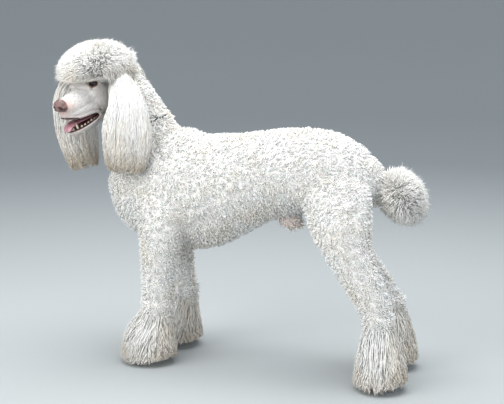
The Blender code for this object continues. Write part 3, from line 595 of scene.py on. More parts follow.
def tuft_object(name, paths, widths, facing, places, look, tan, shade, flat=0.7):
    """One mesh of tapered three-sided tufts. A path ends in a tip, and its other points have widths."""
    count, length = paths.shape[:2]
    rings = length - 1
    tangents = unit(np.gradient(paths, axis=1))[:, :rings]
    side = unit(np.cross(tangents, facing[:, None, :]))
    over = np.cross(tangents, side)
    angles = 2 * np.pi * np.arange(3) / 3
    around = (
        side[:, :, None] * np.cos(angles)[None, None, :, None]
        + over[:, :, None] * np.sin(angles)[None, None, :, None] * flat
    )
    rounds = paths[:, :rings, None] + around * widths[:, :, None, None] / 2
    verts = np.concatenate([rounds.reshape(count, rings * 3, 3), paths[:, -1:]], axis=1)
    each = rings * 3 + 1
    faces = [(2, 1, 0)]
    for ring in range(rings - 1):
        for k in range(3):
            a, b = ring * 3 + k, ring * 3 + (k + 1) % 3
            faces += [(a, b, b + 3), (a, b + 3, a + 3)]
    faces += [(each - 4 + k, each - 4 + (k + 1) % 3, each - 1) for k in range(3)]
    faces = np.array(faces)
    tris = (faces[None] + (np.arange(count) * each)[:, None, None]).reshape(-1, 3)
    reach = np.concatenate([np.repeat(1 - np.arange(rings) / rings, 3), [0]]) * PATCH / 2
    turn = np.concatenate([np.tile(angles, rings), [0]])
    local = np.stack([reach * np.cos(turn), reach * np.sin(turn)], 1)
    uv = (places[:, None] + local[None]).reshape(-1, 2)
    mesh = bpy.data.meshes.new(name)
    mesh.vertices.add(count * each)
    mesh.vertices.foreach_set("co", verts.astype(np.float32).ravel())
    mesh.loops.add(len(tris) * 3)
    mesh.loops.foreach_set("vertex_index", tris.astype(np.int32).ravel())
    mesh.polygons.add(len(tris))
    mesh.polygons.foreach_set("loop_start", np.arange(0, len(tris) * 3, 3, dtype=np.int32))
    layer = mesh.uv_layers.new(name="OFBake")
    layer.data.foreach_set("uv", uv[tris.ravel()].astype(np.float32).ravel())
    rise = np.concatenate([np.repeat(np.arange(rings) / rings, 3), [1.0]])
    give(mesh, "tan", np.clip(np.asarray(tan)[:, None] * (0.6 + 0.4 * rise[None]), 0, 1).ravel())
    # The shade number: each tuft's own tone, darkened towards its root as painted shade between the tufts.
    give(mesh, "shade", (np.asarray(shade)[:, None] * (0.55 + 0.45 * rise[None])).ravel())
    mesh.update(calc_edges=True)
    mesh.shade_smooth()
    mesh.materials.append(look)
    obj = bpy.data.objects.new(name, mesh)
    bpy.context.scene.collection.objects.link(obj)
    return obj


def finished(obj, slot, *nodes):
    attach(obj, "root")
    if nodes:
        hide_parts(*nodes)
    return obj


def curls(name, surface, density, lie, height, look, tan_of, spacing=CURL_SPACING, cluster=CURL_CLUSTER):
    """Short tight wool: hooked tufts that lean together in small clusters."""
    at, facing = surface_places(surface, spacing, density)
    seeds, _ = surface_places(surface, cluster, density)
    owner, _ = nearest(at, seeds)
    count = len(at)
    down = across_the(np.broadcast_to(lie(at), at.shape), facing)
    beside = np.cross(facing, down)
    swirl = draw.uniform(0, 2 * np.pi, len(seeds))[owner] + draw.normal(0, 0.5, count)
    hand = np.where(draw.random(len(seeds)) < 0.5, -1.0, 1.0)[owner]
    inward = seeds[owner] - at
    away = np.linalg.norm(inward, axis=1)
    rise = height(at) * np.clip(1.10 - 0.30 * (away / (0.5 * cluster)) ** 2, 0.5, 1.2)
    rise *= draw.uniform(0.88, 1.10, count)
    loop = 0.0021 * draw.uniform(0.7, 1.3, count)
    steps = np.array([0.0, 0.34, 0.68, 1.0])
    paths = []
    for s in steps:
        a = swirl + hand * 2.9 * s
        up = np.sin(min(1.0, s * 1.12) * np.pi / 2)
        paths.append(
            at
            + facing * (rise * up - 0.001 * (s == 0))[:, None]
            + inward * (0.45 * s)
            + down * (0.0028 * s * s)
            + down * ((np.cos(a) - np.cos(swirl)) * loop)[:, None]
            + beside * ((np.sin(a) - np.sin(swirl)) * loop)[:, None]
        )
    paths = np.stack(paths, 1)
    widths = np.outer(draw.uniform(0.85, 1.15, count), [1.35, 1.15, 0.75]) * CURL_WIDTH
    shade = np.clip(draw.uniform(0.55, 1.05, len(seeds))[owner] + draw.normal(0, 0.08, count), 0, 1)
    return tuft_object(name, paths, widths, beside, unwrap(at, facing), look, tan_of(at, facing), shade)


def on_tube(stations, across, t, angle, scale):
    """Points at a share of a tube's half-axes, and the way it faces out there."""
    rows = curve_at(stations, t)
    ahead = curve_at(stations, t + 0.01)[..., :3] - curve_at(stations, t - 0.01)[..., :3]
    tangent = unit(ahead)
    side = across_the(np.broadcast_to(np.array(across), tangent.shape), tangent)
    over = np.cross(tangent, side)
    c, s = np.cos(angle)[..., None], np.sin(angle)[..., None]
    wide, deep = rows[..., 3:4], rows[..., 4:5]
    facing = unit(side * deep * c + over * wide * s)
    return rows[..., :3] + (side * wide * c + over * deep * s) * scale[..., None], facing


def hanging(name, stations, across, shape, look, tan_of, nodes):
    """Long wavy locks down a tube-shaped form, gathered in tapering strands."""
    count, groups = shape["count"], shape["groups"]
    steps = np.linspace(0, 1, shape["rings"] + 1)
    angle = draw.uniform(0, 2 * np.pi, count)
    start = shape["start"][0] + (shape["start"][1] - shape["start"][0]) * draw.random(count) ** 0.85
    span = draw.uniform(*shape["span"], count)
    finish = np.minimum(start + span, shape["end"] - draw.uniform(0, shape["ragged"], count))
    finish -= shape["rear_rise"] * np.maximum(0, np.sin(angle))
    start = np.minimum(start, finish - 0.12)
    strand_angle = np.sort(draw.uniform(0, 2 * np.pi, groups))
    strand_end = draw.uniform(0.0, 1.0, groups)
    strand = np.abs(np.angle(np.exp(1j * (angle[:, None] - strand_angle[None])))).argmin(1)
    turn = np.angle(np.exp(1j * (strand_angle[strand] - angle)))
    phase = strand_end[strand] * 6.28 + draw.normal(0, 0.75, count)
    depth = draw.random(count) ** 0.6
    out = shape["core"] + (1 - shape["core"]) * (0.35 + 0.65 * depth)
    paths = []
    for s in steps:
        t = start + (finish - start) * s
        pull = shape["gather"] * s**1.4
        swing = shape["wave"] * s**1.2 * (1 + shape["tip_curl"] * fade(t, 0.60, 0.95))
        wave = swing * np.sin(phase + s * shape["turns"])
        inner = shape["core"] * 0.97
        outer = out * (1 + 0.05 * np.sin(phase * 1.7 + 9 * s))
        scale = inner + (outer - inner) * fade(s, 0.0, shape["lift"])
        point, facing = on_tube(stations, across, t, angle + turn * pull, scale)
        ring_side = across_the(np.cross(facing, [0.0, 0.0, 1.0]), facing)
        bob = swing * 0.6 * np.cos(phase * 1.3 + s * shape["turns"])
        paths.append(point + ring_side * wave[:, None] + facing * bob[:, None])
    paths = np.stack(paths, 1)
    if "floor" in shape:
        paths[..., 2] = np.maximum(paths[..., 2], shape["floor"])
    taper = np.interp(steps[:-1], [0, 0.25, 0.7, 1.0], [0.8, 1.0, 0.8, 0.35])
    widths = np.outer(draw.uniform(0.7, 1.2, count), taper) * shape["width"]
    root, facing = on_tube(stations, across, start, angle, np.full(count, shape["core"]))
    shade = np.clip(strand_end[strand] * 0.35 + draw.uniform(0.45, 0.8, count), 0, 1)
    places = unwrap(root, facing)
    made = tuft_object(name, paths, widths, facing, places, look, tan_of(paths[:, -1], finish), shade, 0.55)
    return finished(made, "coat", *nodes)


def radiating(name, core, outer, density, spacing, lie, shape, look, tan_of, settle=None):
    """Long loose hair that stands out from a core to the form's surface, gathered in tufts at its tips."""
    at, facing = surface_places(surface_of(core), spacing, density)
    reach = []
    for p, n in zip(at, facing):
        hit = outer.ray_cast(Vector(p), Vector(n))
        reach.append(hit[3] if hit[0] is not None else 0.02)
    reach = np.clip(np.array(reach), 0.006, shape["most"]) * draw.uniform(0.86, 1.06, len(at))
    tips = at + facing * reach[:, None]
    seeds, _ = surface_places(surface_of(core), shape["cluster"], density)
    owner, _ = nearest(at, seeds)
    middle = np.zeros_like(seeds)
    number = np.bincount(owner, minlength=len(seeds))[:, None]
    for k in range(3):
        middle[:, k] = np.bincount(owner, weights=tips[:, k], minlength=len(seeds))
    middle = middle / np.maximum(number, 1)
    phase = draw.uniform(0, 6.28, len(seeds))[owner] + draw.normal(0, 0.5, len(at))
    down = across_the(np.broadcast_to(lie(at, facing), at.shape), facing)
    beside = np.cross(facing, down)
    flick = draw.random(len(at)) < shape["flicks"]
    paths = []
    steps = np.linspace(0, 1, shape["rings"] + 1)
    for s in steps:
        pull = (middle[owner] - tips) * (shape["gather"] * s**1.5)
        bend = down * (shape["droop"] * reach * s * s)[:, None]
        swing = shape["curl"] * s**0.7
        turned = phase + 5.0 * s
        spiral = down * (np.cos(turned) * swing)[:, None] + beside * (np.sin(turned) * swing)[:, None]
        grow = s * (1 + 0.22 * flick * s)
        paths.append(at + facing * (reach * grow - 0.002 * (s == 0))[:, None] + pull + bend + spiral)
    paths = np.stack(paths, 1)
    if settle is not None:
        paths = settle(paths)
    taper = np.interp(steps[:-1], [0, 0.3, 0.75, 1.0], [0.9, 1.0, 0.8, 0.3])
    widths = np.outer(draw.uniform(0.7, 1.2, len(at)), taper) * shape["width"]
    widths[flick] *= 0.6
    shade = np.clip(draw.uniform(0.60, 1.0, len(seeds))[owner] + draw.normal(0, 0.08, len(at)), 0, 1)
    return tuft_object(
        name, paths, widths, beside, unwrap(at, facing), look, tan_of(paths[:, -1]), shade, 0.6
    )


# Skin


def cad_copy(bm, name, distance):
    """Adds a node's shape to bm, grown by a distance."""
    part = bmesh.new()
    part.from_mesh(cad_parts[name].data)
    bmesh.ops.remove_doubles(part, verts=part.verts, dist=1e-5)
    bmesh.ops.recalc_face_normals(part, faces=part.faces)
    part.normal_update()
    for vert, place in [(v, v.co + v.normal * distance) for v in part.verts]:
        vert.co = place
    mesh = bpy.data.meshes.new("part")
    part.to_mesh(mesh)
    part.free()
    bm.from_mesh(mesh)
    bpy.data.meshes.remove(mesh)


FEET = [(leg, word) for leg in ("fore", "hind") for word in ("left", "right")]
BODY_NODES = ["torso", "neck", "tail"] + [f"{leg}leg_{word}" for leg, word in FEET]


def box_of(name):
    low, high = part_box(name)
    return np.array(low), np.array(high)


def ankle(leg, word):
    """The place and half-axes of a leg where its foot begins."""
    points = np.array([v.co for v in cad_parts[f"{leg}leg_{word}"].data.vertices])
    low = points[points[:, 2] < points[:, 2].min() + 0.012]
    return (low.min(0) + low.max(0)) / 2, (low.max(0) - low.min(0)) / 2


def paw_stations(leg, word):
    """A paw under the bell of hair, from the ankle to the floor."""
    top, half = ankle(leg, word)
    low, high = box_of(f"{leg}foot_{word}")
    middle = (low + high) / 2
    toe = middle[0] - (0.004 if leg == "fore" else 0.000)
    wide = 0.78 if leg == "fore" else 0.74
    return [
        (top[0], top[1], top[2] + 0.03, half[1] * 0.9, half[0] * 0.9),
        (top[0], top[1], top[2] - 0.02, half[1] * 0.80, half[0] * 0.80),
        (top[0] - 0.002, top[1], 0.080, half[1] * 0.68, half[0] * 0.68),
        (toe, top[1], 0.042, half[1] * wide, half[0] * 0.82),
        (toe - 0.004, top[1], 0.016, half[1] * 0.80, half[0] * 0.92),
        (toe - 0.004, top[1], 0.006, half[1] * 0.70, half[0] * 0.80),
    ]


def body_skin():
    """Trunk, neck, legs, paws and tail as one skin, inside the clipped coat by its depth."""
    bm = bmesh.new()
    for name in BODY_NODES:
        cad_copy(bm, name, SEAM_FILL if name != "tail" else 0.006)
    obj = melt(object_of(bm, "body"), 0.0045, 6)
    shrink(obj, COAT_DEPTH + SEAM_FILL * 0.5)
    bm = bmesh.new()
    bm.from_mesh(obj.data)
    for leg, word in FEET:
        add_tube(bm, paw_stations(leg, word), 12, 18, round_ends=False)
    add_ellipsoid(bm, SHEATH_PLACE + SHIFT, SHEATH_RADII, Matrix.Rotation(math.radians(12), 4, "Y"))
    drop(obj)
    return melt(object_of(bm, "skin"), 0.0042, 3)


def head_melt():
    """Skull, muzzle, cheeks, jaw and lips as one skin with the mouth open."""
    bm = bmesh.new()
    for (u, v, w), radii in SKULL_FORMS:
        add_ellipsoid(bm, in_head(u, v, w), [r - FACE_DEPTH for r in radii], HEAD_TURN)
    for (u, v, w), radii in PAIRED_FORMS:
        for side in (1, -1):
            add_ellipsoid(bm, in_head(u, side * v, w), [r - FACE_DEPTH for r in radii], HEAD_TURN)
    for stations in (MUZZLE, JAW, MOUTH_FILL):
        thinned = [(u, v, w, a - FACE_DEPTH, b - FACE_DEPTH) for u, v, w, a, b in stations]
        add_tube(bm, at_head(thinned, HEAD), 16, 28, HEAD_ACROSS)
    obj = melt(object_of(bm, "head"), 0.0020, 9)
    for name, stations, rings, sides in (("mouth", MOUTH, 22, 28), ("throat", THROAT, 10, 20)):
        bm = bmesh.new()
        add_tube(bm, at_head(stations, HEAD), rings, sides, HEAD_ACROSS)
        cut_away(obj, object_of(bm, name))
    bm = bmesh.new()
    bm.from_mesh(obj.data)
    for side in (1, -1):
        add_tube(bm, at_head(mirrored(FLEW, side), HEAD), 16, 16, HEAD_ACROSS)
        for lip in (UPPER_LIP, LOWER_LIP):
            add_tube(bm, at_head(mirrored(lip, side), HEAD), 22, 12, HEAD_ACROSS)
    add_ellipsoid(bm, in_head(*LIP_FRONT[0]), LIP_FRONT[1], HEAD_TURN)
    drop(obj)
    return melt(object_of(bm, "head"), 0.0017, 5)


def lip_distance(points):
    """How far each point is from the nearest lip's crest."""
    crest = []
    for side in (1, -1):
        for lip in (UPPER_LIP, LOWER_LIP):
            rows = curve_at(mirrored(lip, side), np.linspace(0, 1, 60))[:, :3]
            crest.append(np.array([in_head(*row) for row in rows]))
    return nearest(points, np.concatenate(crest))[1]


EYES = {}

# Each ring of a lid: its share of the way across the lid's band, and its height over the eyeball.
LID_BAND = 0.42
LID_RINGS = [(-0.10, 0.0002), (0.0, 0.0007), (0.10, 0.0016), (0.25, 0.0020)]
LID_RINGS += [(0.5, None), (0.78, None), (1.0, None)]


def eye_axes(side, word):
    """An eye's centre and radius, and its outward, level and upward axes."""
    low, high = box_of("eye_" + word)
    axes = HEAD.to_3x3()
    outward = (axes @ Vector((0.80, side * 0.58, 0.05))).normalized()
    along = (axes @ Vector((-0.58 * side, 0.80, 0.10))).normalized()
    along = (along - outward * along.dot(outward)).normalized()
    over = outward.cross(along)
    if over.z < 0:
        over = -over
    return (low + high) / 2, float((high - low).max() / 2), *(np.array(a) for a in (outward, along, over))


def almond(angle, reach):
    """Half-angles of the lids' opening about the eye's axis, for each turn round it."""
    high = np.where(np.sin(angle) > 0, 0.50, 0.44)
    return reach * np.sqrt((0.88 * np.cos(angle)) ** 2 + (high * np.abs(np.sin(angle)) ** 1.25) ** 2)


def lids(head_tree, word):
    """Upper and lower lid: a rolled band from the eyeball's almond opening out to the skin of the face."""
    centre, radius, outward, along, over = EYES[word]
    turns = np.linspace(0, 2 * np.pi, 56, endpoint=False)
    bm = bmesh.new()
    rings = []
    outer = []
    for a in turns:
        wide = float(almond(np.array([a]), 1.0)[0]) + LID_BAND
        ray = outward * math.cos(wide) + (along * math.cos(a) + over * math.sin(a)) * math.sin(wide)
        hit = head_tree.ray_cast(Vector(centre), Vector(ray))
        outer.append(hit[3] if hit[0] is not None else radius + 0.002)
    outer = np.clip(np.array(outer), radius + 0.0008, radius + 0.006)
    outer = (outer + np.roll(outer, 1) + np.roll(outer, -1)) / 3
    for share, lift in LID_RINGS:
        ring = []
        for k, a in enumerate(turns):
            wide = float(almond(np.array([a]), 1.0)[0]) + LID_BAND * share
            far = outer[k] + 0.0003
            near = radius + 0.0020
            reach = radius + lift if lift is not None else near + (far - near) * ((share - 0.25) / 0.75)
            ray = outward * math.cos(wide) + (along * math.cos(a) + over * math.sin(a)) * math.sin(wide)
            ring.append(bm.verts.new(Vector(centre + ray * reach)))
        rings.append(ring)
    for first, second in zip(rings, rings[1:]):
        bridge(bm, first, second)
    bmesh.ops.recalc_face_normals(bm, faces=bm.faces)
    obj = object_of(bm, "lids_" + word)
    points, normals = points_of(obj)
    if ((points - centre) * normals).sum() < 0:
        obj.data.flip_normals()
    give(obj.data, "lip", np.repeat([1.0, 1.0, 1.0, 0.8, 0.3, 0.0, 0.0], len(turns)))
    below = ((points - centre) @ over) < 0
    rim = np.repeat([0.2, 0.6, 0.9, 1.0, 0.7, 0.2, 0.0], len(turns))
    give(obj.data, "pink", np.where(below, rim, 0.0))
    inner = fade(np.abs(lid_corner(points, word)), 0.016, 0.004)
    give(obj.data, "stain", np.repeat([0.9, 0.9, 0.9, 0.8, 0.6, 0.4, 0.25], len(turns)) * inner)
    return obj


def lid_corner(points, word):
    """Distance from the eye's inner corner, where tears stain the hair."""
    centre, radius, outward, along, over = EYES[word]
    inward = along if (along @ FORWARD) > 0 else -along
    corner = centre + outward * radius * 0.75 + inward * radius * 0.85 + over * radius * 0.15
    return np.linalg.norm(points - corner, axis=1)


def head_skin():
    """The head's skin with lids, and the marks of its lips, mouth, stains and pink patches."""
    obj = head_melt()
    points, _ = points_of(obj)
    local = head_local(points)
    bm = bmesh.new()
    add_tube(bm, at_head(MOUTH, HEAD), 22, 28, HEAD_ACROSS)
    add_tube(bm, at_head(THROAT, HEAD), 10, 20, HEAD_ACROSS)
    cavity = object_of(bm, "cavity")
    tree = tree_of(cavity)
    near = np.array([tree.find_nearest(Vector(p))[3] for p in points])
    drop(cavity)
    inside = (near < 0.0026) & (local[:, 0] < 0.150) & (np.abs(local[:, 1]) < 0.033)
    crest = lip_distance(points)
    # Painted shade: the skin inside the mouth is darkened to a dark red.
    give(obj.data, "mouth", fade(-near, -0.0050, -0.0022) * inside)
    rim = fade(-crest, -0.0062, -0.0044)
    give(obj.data, "lip", rim * fade(-near, -0.0042, -0.0020))
    nose_away = np.linalg.norm((local - [0.152, 0, -0.016]) / [1, 1.1, 1], axis=1)
    give(obj.data, "pink", 0.75 * fade(-nose_away, -0.042, -0.017) + 0.25 * fade(-crest, -0.014, -0.006))
    stain = sum(fade(-lid_corner(points, word), -0.013, -0.005) for word in EYES)
    give(obj.data, "stain", 0.75 * np.clip(stain, 0, 1))
    hidden = fade(local[:, 2], 0.030, 0.040) + fade(-local[:, 0], 0.030, 0.050)
    give(obj.data, "coat", np.clip(hidden, 0, 1))
    head_tree = tree_of(obj)
    bm = bmesh.new()
    bm.from_mesh(obj.data)
    covered = []
    for word, (centre, radius, outward, along, over) in EYES.items():
        for face in bm.faces:
            away = np.array(face.calc_center_median()) - centre
            far = np.linalg.norm(away)
            if far > radius + 0.008 or away @ outward <= 0:
                continue
            a = math.atan2(away @ over, away @ along)
            wide = math.acos(min(1.0, (away @ outward) / far))
            if wide < float(almond(np.array([a]), 1.0)[0]) + 0.30:
                covered.append(face)
    bmesh.ops.delete(bm, geom=covered, context="FACES")
    bm.to_mesh(obj.data)
    bm.free()
    return [obj, *(lids(head_tree, word) for word in EYES)]


def core_forms(share):
    """The topknot, nape and mane at a share of their size, melted into one form."""
    bm = bmesh.new()
    turn = HEAD_TURN @ Matrix.Rotation(math.radians(8), 4, "Y")
    centre, radii = TOPKNOT_FORM
    add_ellipsoid(bm, in_head(*centre), [r * share for r in radii], turn)
    for centre, radii in (NAPE_FORM, MANE_FORM):
        add_ellipsoid(bm, centre + SHIFT, [r * share for r in radii])
    return melt(object_of(bm, "topknot_form"), 0.005, 4)


def pompon_form(share):
    low, high = box_of("tail_pompon")
    bm = bmesh.new()
    turn = Matrix.Rotation(POMPON_TURN, 4, "Y")
    add_ellipsoid(bm, (low + high) / 2, [r * share for r in POMPON_RADII], turn, 40, 26)
    put_in_order(bm)
    return object_of(bm, "pompon_form")


def ear_form(stations, across):
    wide, deep = EAR_CORE
    bm = bmesh.new()
    rows = [(x, y, z, w * wide, d * deep) for x, y, z, w, d in stations[:6]]
    add_tube(bm, rows, 24, 28, across)
    return object_of(bm, "ear_form")


def bell_form(stations):
    """The dense wool inside the bell of a foot."""
    bm = bmesh.new()
    rows = [(x, y, z, w * BELL_CORE, d * BELL_CORE) for x, y, z, w, d in stations]
    rows[-1] = (*rows[-1][:2], 0.014, *rows[-1][3:])
    add_tube(bm, rows, 16, 28, round_ends=False)
    return object_of(bm, "bell_form")


def joined(name, objects):
    """One mesh of several objects, with the numbers that each of their vertices holds."""
    names = ("coat", "lip", "mouth", "pink", "stain")
    bm = bmesh.new()
    values = {key: [] for key in names}
    for obj in objects:
        bm.from_mesh(obj.data)
        for key in names:
            found = obj.data.attributes.get(key)
            column = np.zeros(len(obj.data.vertices), np.float32)
            if found:
                found.data.foreach_get("value", column)
            values[key].append(column)
    made = object_of(bm, name)
    for key in names:
        give(made.data, key, np.concatenate(values[key]))
    drop(*objects)
    return made


# Face parts


def nose(look):
    """The nose leather: a rounded pad with wings, a groove and a comma of a nostril on each side."""
    bm = bmesh.new()
    add_ellipsoid(bm, in_head(0.156, 0, -0.016), (0.015, 0.0185, 0.0165), HEAD_TURN)
    for side in (1, -1):
        add_ellipsoid(bm, in_head(0.156, side * 0.0115, -0.021), (0.011, 0.009, 0.0105), HEAD_TURN)
    obj = melt(object_of(bm, "nose"), 0.0011, 5)
    bm = bmesh.new()
    for side in (1, -1):
        add_ellipsoid(bm, in_head(0.171, side * 0.0085, -0.0190), (0.010, 0.0040, 0.0046), HEAD_TURN)
    cut_away(obj, object_of(bm, "cutter"))
    for side in (1, -1):
        slit = [
            (*in_head(0.167, side * 0.0095, -0.0205), 0.0018, 0.0030),
            (*in_head(0.166, side * 0.0150, -0.0225), 0.0018, 0.0030),
            (*in_head(0.158, side * 0.0205, -0.0245), 0.0014, 0.0024),
        ]
        bm = bmesh.new()
        add_tube(bm, slit, 12, 12, HEAD_UP)
        cut_away(obj, object_of(bm, "cutter"))
    groove = [
        (*in_head(0.1725, 0, -0.014), 0.0006, 0.0012),
        (*in_head(0.1700, 0, -0.026), 0.0008, 0.0016),
        (*in_head(0.1630, 0, -0.036), 0.0009, 0.0018),
    ]
    bm = bmesh.new()
    add_tube(bm, groove, 10, 10, HEAD_ACROSS)
    cut_away(obj, object_of(bm, "cutter"))
    melt(obj, 0.00075, 2)
    obj.data.materials.clear()
    points, _ = points_of(obj)
    local = head_local(points)
    nostrils = [[0.166, side * 0.011, -0.021] for side in (1, -1)]
    slits = np.minimum.reduce([np.linalg.norm(local - place, axis=1) for place in nostrils])
    # Painted shade: the nose darkens on its underside and round its nostrils.
    give(obj.data, "dark", np.clip(fade(-local[:, 2], 0.022, 0.034) + fade(-slits, -0.0062, -0.0040), 0, 1))
    obj.data.materials.append(look)
    return finished(obj, "nose_leather", "nose")


def tongue(look):
    """A flat tongue with a groove down its middle."""
    bm = bmesh.new()
    add_tube(bm, at_head(TONGUE, HEAD), 40, 32, HEAD_ACROSS)
    obj = object_of(bm, "tongue_soft")
    points, _ = points_of(obj)
    local = head_local(points)
    rows = curve_at(TONGUE, np.linspace(0, 1, 80))
    spot = np.abs(local[:, None, 0] - rows[None, :, 0]).argmin(1)
    above = local[:, 2] - rows[spot, 2]
    groove = np.exp(-((local[:, 1] / 0.0028) ** 2)) * (above > 0) * 0.0016
    edge = np.clip(np.abs(local[:, 1]) / 0.016, 0, 1) ** 2 * 0.0012
    points += UPWARD * (edge - groove)[:, None]
    obj.data.vertices.foreach_set("co", points.astype(np.float32).ravel())
    # Painted shade: the tongue darkens towards the back of the mouth and in its groove.
    give(obj.data, "dark", np.clip(fade(-local[:, 0], -0.11, -0.02) + groove / 0.003, 0, 1))
    obj.data.update()
    obj.data.materials.append(look)
    return finished(obj, "tongue", "tongue")


def teeth(look):
    """Canines, incisors and cheek teeth along both jaws."""
    bm = bmesh.new()

    def tooth(root, tip, radius, flat=1.0):
        root, tip = in_head(*root), in_head(*tip)
        along = (tip - root).normalized()
        side = (HEAD.to_3x3() @ Vector((1, 0, 0))).cross(along).normalized()
        over = along.cross(side)
        previous = None
        for t, share in ((0, 0.85), (0.25, 1.0), (0.55, 0.82), (0.85, 0.45), (1.0, 0.16)):
            ring = ring_of(bm, root.lerp(tip, t), side * radius * share * flat, over * radius * share, 10)
            if previous:
                bridge(bm, previous, ring)
            else:
                bm.faces.new(reversed(ring))
            previous = ring
        bm.faces.new(previous)

    for side in (1, -1):
        tooth((0.121, side * 0.0128, -0.0905), (0.128, side * 0.0150, -0.0705), 0.0032)
        tooth((0.133, side * 0.0175, -0.044), (0.136, side * 0.0180, -0.0575), 0.0032)
        for k in range(5):
            u, v = 0.108 - 0.0115 * k, side * (0.0160 + 0.0017 * k)
            tall = 0.0095 if k == 3 else 0.0070
            tooth((u, v, -0.0890 + 0.0016 * k), (u, v, -0.0890 + 0.0016 * k + tall), 0.0050, 0.55)
        for k in range(4):
            u, v = 0.116 - 0.0130 * k, side * (0.0200 + 0.0018 * k)
            tooth((u, v, -0.0470), (u, v, -0.0555 - 0.0004 * k), 0.0048, 0.55)
    for k in range(6):
        a = math.radians(-55 + 22 * k)
        u, v = 0.1250 + 0.0125 * math.cos(a), 0.0108 * math.sin(a)
        tooth((u, v, -0.0925), (u + 0.0015, v, -0.0825), 0.0021, 0.8)
        tooth((u + 0.008, v * 1.1, -0.0440), (u + 0.009, v * 1.1, -0.0530), 0.0021, 0.8)
    bmesh.ops.recalc_face_normals(bm, faces=bm.faces)
    obj = object_of(bm, "teeth")
    obj.data.materials.append(look)
    return finished(obj, "shaved_face")


def gums(look):
    """The wet gum that the lower cheek teeth and incisors stand in."""
    bm = bmesh.new()
    line = [
        (0.052, 0.0245, -0.0830),
        (0.080, 0.0205, -0.0875),
        (0.105, 0.0165, -0.0900),
        (0.124, 0.0125, -0.0925),
        (0.137, 0.0, -0.0935),
    ]
    line += [(u, -v, w) for u, v, w in line[-2::-1]]
    whole = [(*row, 0.0036, 0.0048) for row in line]
    add_tube(bm, at_head(whole, HEAD), 60, 14, HEAD_UP)
    obj = object_of(bm, "gums")
    give(obj.data, "dark", np.zeros(len(obj.data.vertices)))
    obj.data.materials.append(look)
    return finished(obj, "shaved_face")


def eye(word, looks):
    """A dark brown iris with a black pupil, bulging at the front."""
    centre, radius, outward, along, over = EYES[word]
    bm = bmesh.new()
    steps = [math.pi * k / 36 for k in range(1, 36)]
    front = bm.verts.new(Vector(centre + outward * radius * 1.035))
    rings = []
    for a in steps:
        bulge = 0.035 * math.exp(-((a / 0.55) ** 4))
        middle = centre + outward * radius * (1 + bulge) * math.cos(a)
        reach = radius * (1 + bulge) * math.sin(a)
        rings.append(ring_of(bm, Vector(middle), Vector(along) * reach, Vector(over) * reach, 40))
    back = bm.verts.new(Vector(centre - outward * radius))
    for first, second in zip(rings, rings[1:]):
        bridge(bm, first, second)
    for k in range(40):
        bm.faces.new((front, rings[0][k], rings[0][(k + 1) % 40]))
        bm.faces.new((back, rings[-1][(k + 1) % 40], rings[-1][k]))
    for face in bm.faces:
        ray = np.array(face.calc_center_median()) - centre
        wide = math.acos(max(-1.0, min(1.0, float(ray @ outward) / float(np.linalg.norm(ray)))))
        face.material_index = 0 if wide < 0.34 else 1 if wide < 0.86 else 2
    bmesh.ops.recalc_face_normals(bm, faces=bm.faces)
    obj = object_of(bm, "eyeball_" + word)
    for look in looks:
        obj.data.materials.append(look)
    return finished(obj, "eye", "eye_" + word)


def flat_axes(name):
    """A thin node's middle and its axes from the longest to the shortest."""
    points = np.array([v.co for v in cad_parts[name].data.vertices])
    low, high = box_of(name)
    _, _, axes = np.linalg.svd(points - points.mean(0), full_matrices=False)
    return (low + high) / 2, axes, high - low


def ring_piece(look):
    """The split ring between collar and tag."""
    middle, axes, size = flat_axes("tag_ring")
    radius = size.max() / 2 - 0.0011
    bm = bmesh.new()
    loops = []
    count = 72
    for k in range(2 * count):
        b = 2 * math.pi * k / count
        ray = Vector(axes[0] * math.cos(b) + axes[1] * math.sin(b))
        rise = Vector(axes[2]) * 0.0007 * (k / count - 1)
        place = Vector(middle) + ray * radius + rise
        loops.append(ring_of(bm, place, ray * 0.0008, Vector(axes[2]) * 0.0007, 10))
    for first, second in zip(loops, loops[1:]):
        bridge(bm, first, second)
    bm.faces.new(loops[0])
    bm.faces.new(loops[-1])
    bmesh.ops.recalc_face_normals(bm, faces=bm.faces)
    obj = object_of(bm, "split_ring")
    obj.data.materials.append(look)
    return finished(obj, "ring_steel", "tag_ring")


def tag_piece(look):
    """A round tag with a raised rim."""
    middle, axes, size = flat_axes("collar_tag")
    radius = size[2] / 2
    middle[2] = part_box("collar_tag")[0].z + radius
    normal = Vector(axes[2])
    side = Vector((0, 0, 1)).cross(normal).normalized()
    up = normal.cross(side)
    profile = ((0.0, 0.0007), (0.86, 0.0007), (0.90, 0.0011), (0.97, 0.0011), (1.0, 0.0007))
    bm = bmesh.new()
    loops = []
    for face in (1, -1):
        for r, h in profile if face == 1 else reversed(profile):
            reach = max(radius * r, 1e-4)
            loops.append(ring_of(bm, Vector(middle) + normal * h * face, side * reach, up * reach, 64))
    for first, second in zip(loops, loops[1:]):
        bridge(bm, first, second)
    bm.faces.new(loops[0])
    bm.faces.new(loops[-1])
    bmesh.ops.recalc_face_normals(bm, faces=bm.faces)
    obj = object_of(bm, "round_tag")
    obj.data.materials.append(look)
    return finished(obj, "tag_enamel", "collar_tag")


def collar_piece(look):
    """The webbing collar: the node's band, made round."""
    bm = bmesh.new()
    cad_copy(bm, "collar", 0.0)
    bmesh.ops.dissolve_limit(bm, angle_limit=math.radians(4), verts=bm.verts, edges=bm.edges)
    obj = object_of(bm, "webbing")
    smooth = obj.modifiers.new("round", "SUBSURF")
    smooth.levels = smooth.render_levels = 2
    apply_modifiers(obj)
    obj.data.materials.append(look)
    return finished(obj, "collar_webbing", "collar")


# Where the coat grows


def own(points):
    """Points of the frame in the dog's own axes."""
    return points - np.array(SHIFT)


def above_line(points, low, high):
    """True above a line in the dog's side view, given by two places of x and z."""
    (x0, z0), (x1, z1) = low, high
    return points[:, 2] > z0 + (points[:, 0] - x0) * (z1 - z0) / (x1 - x0)


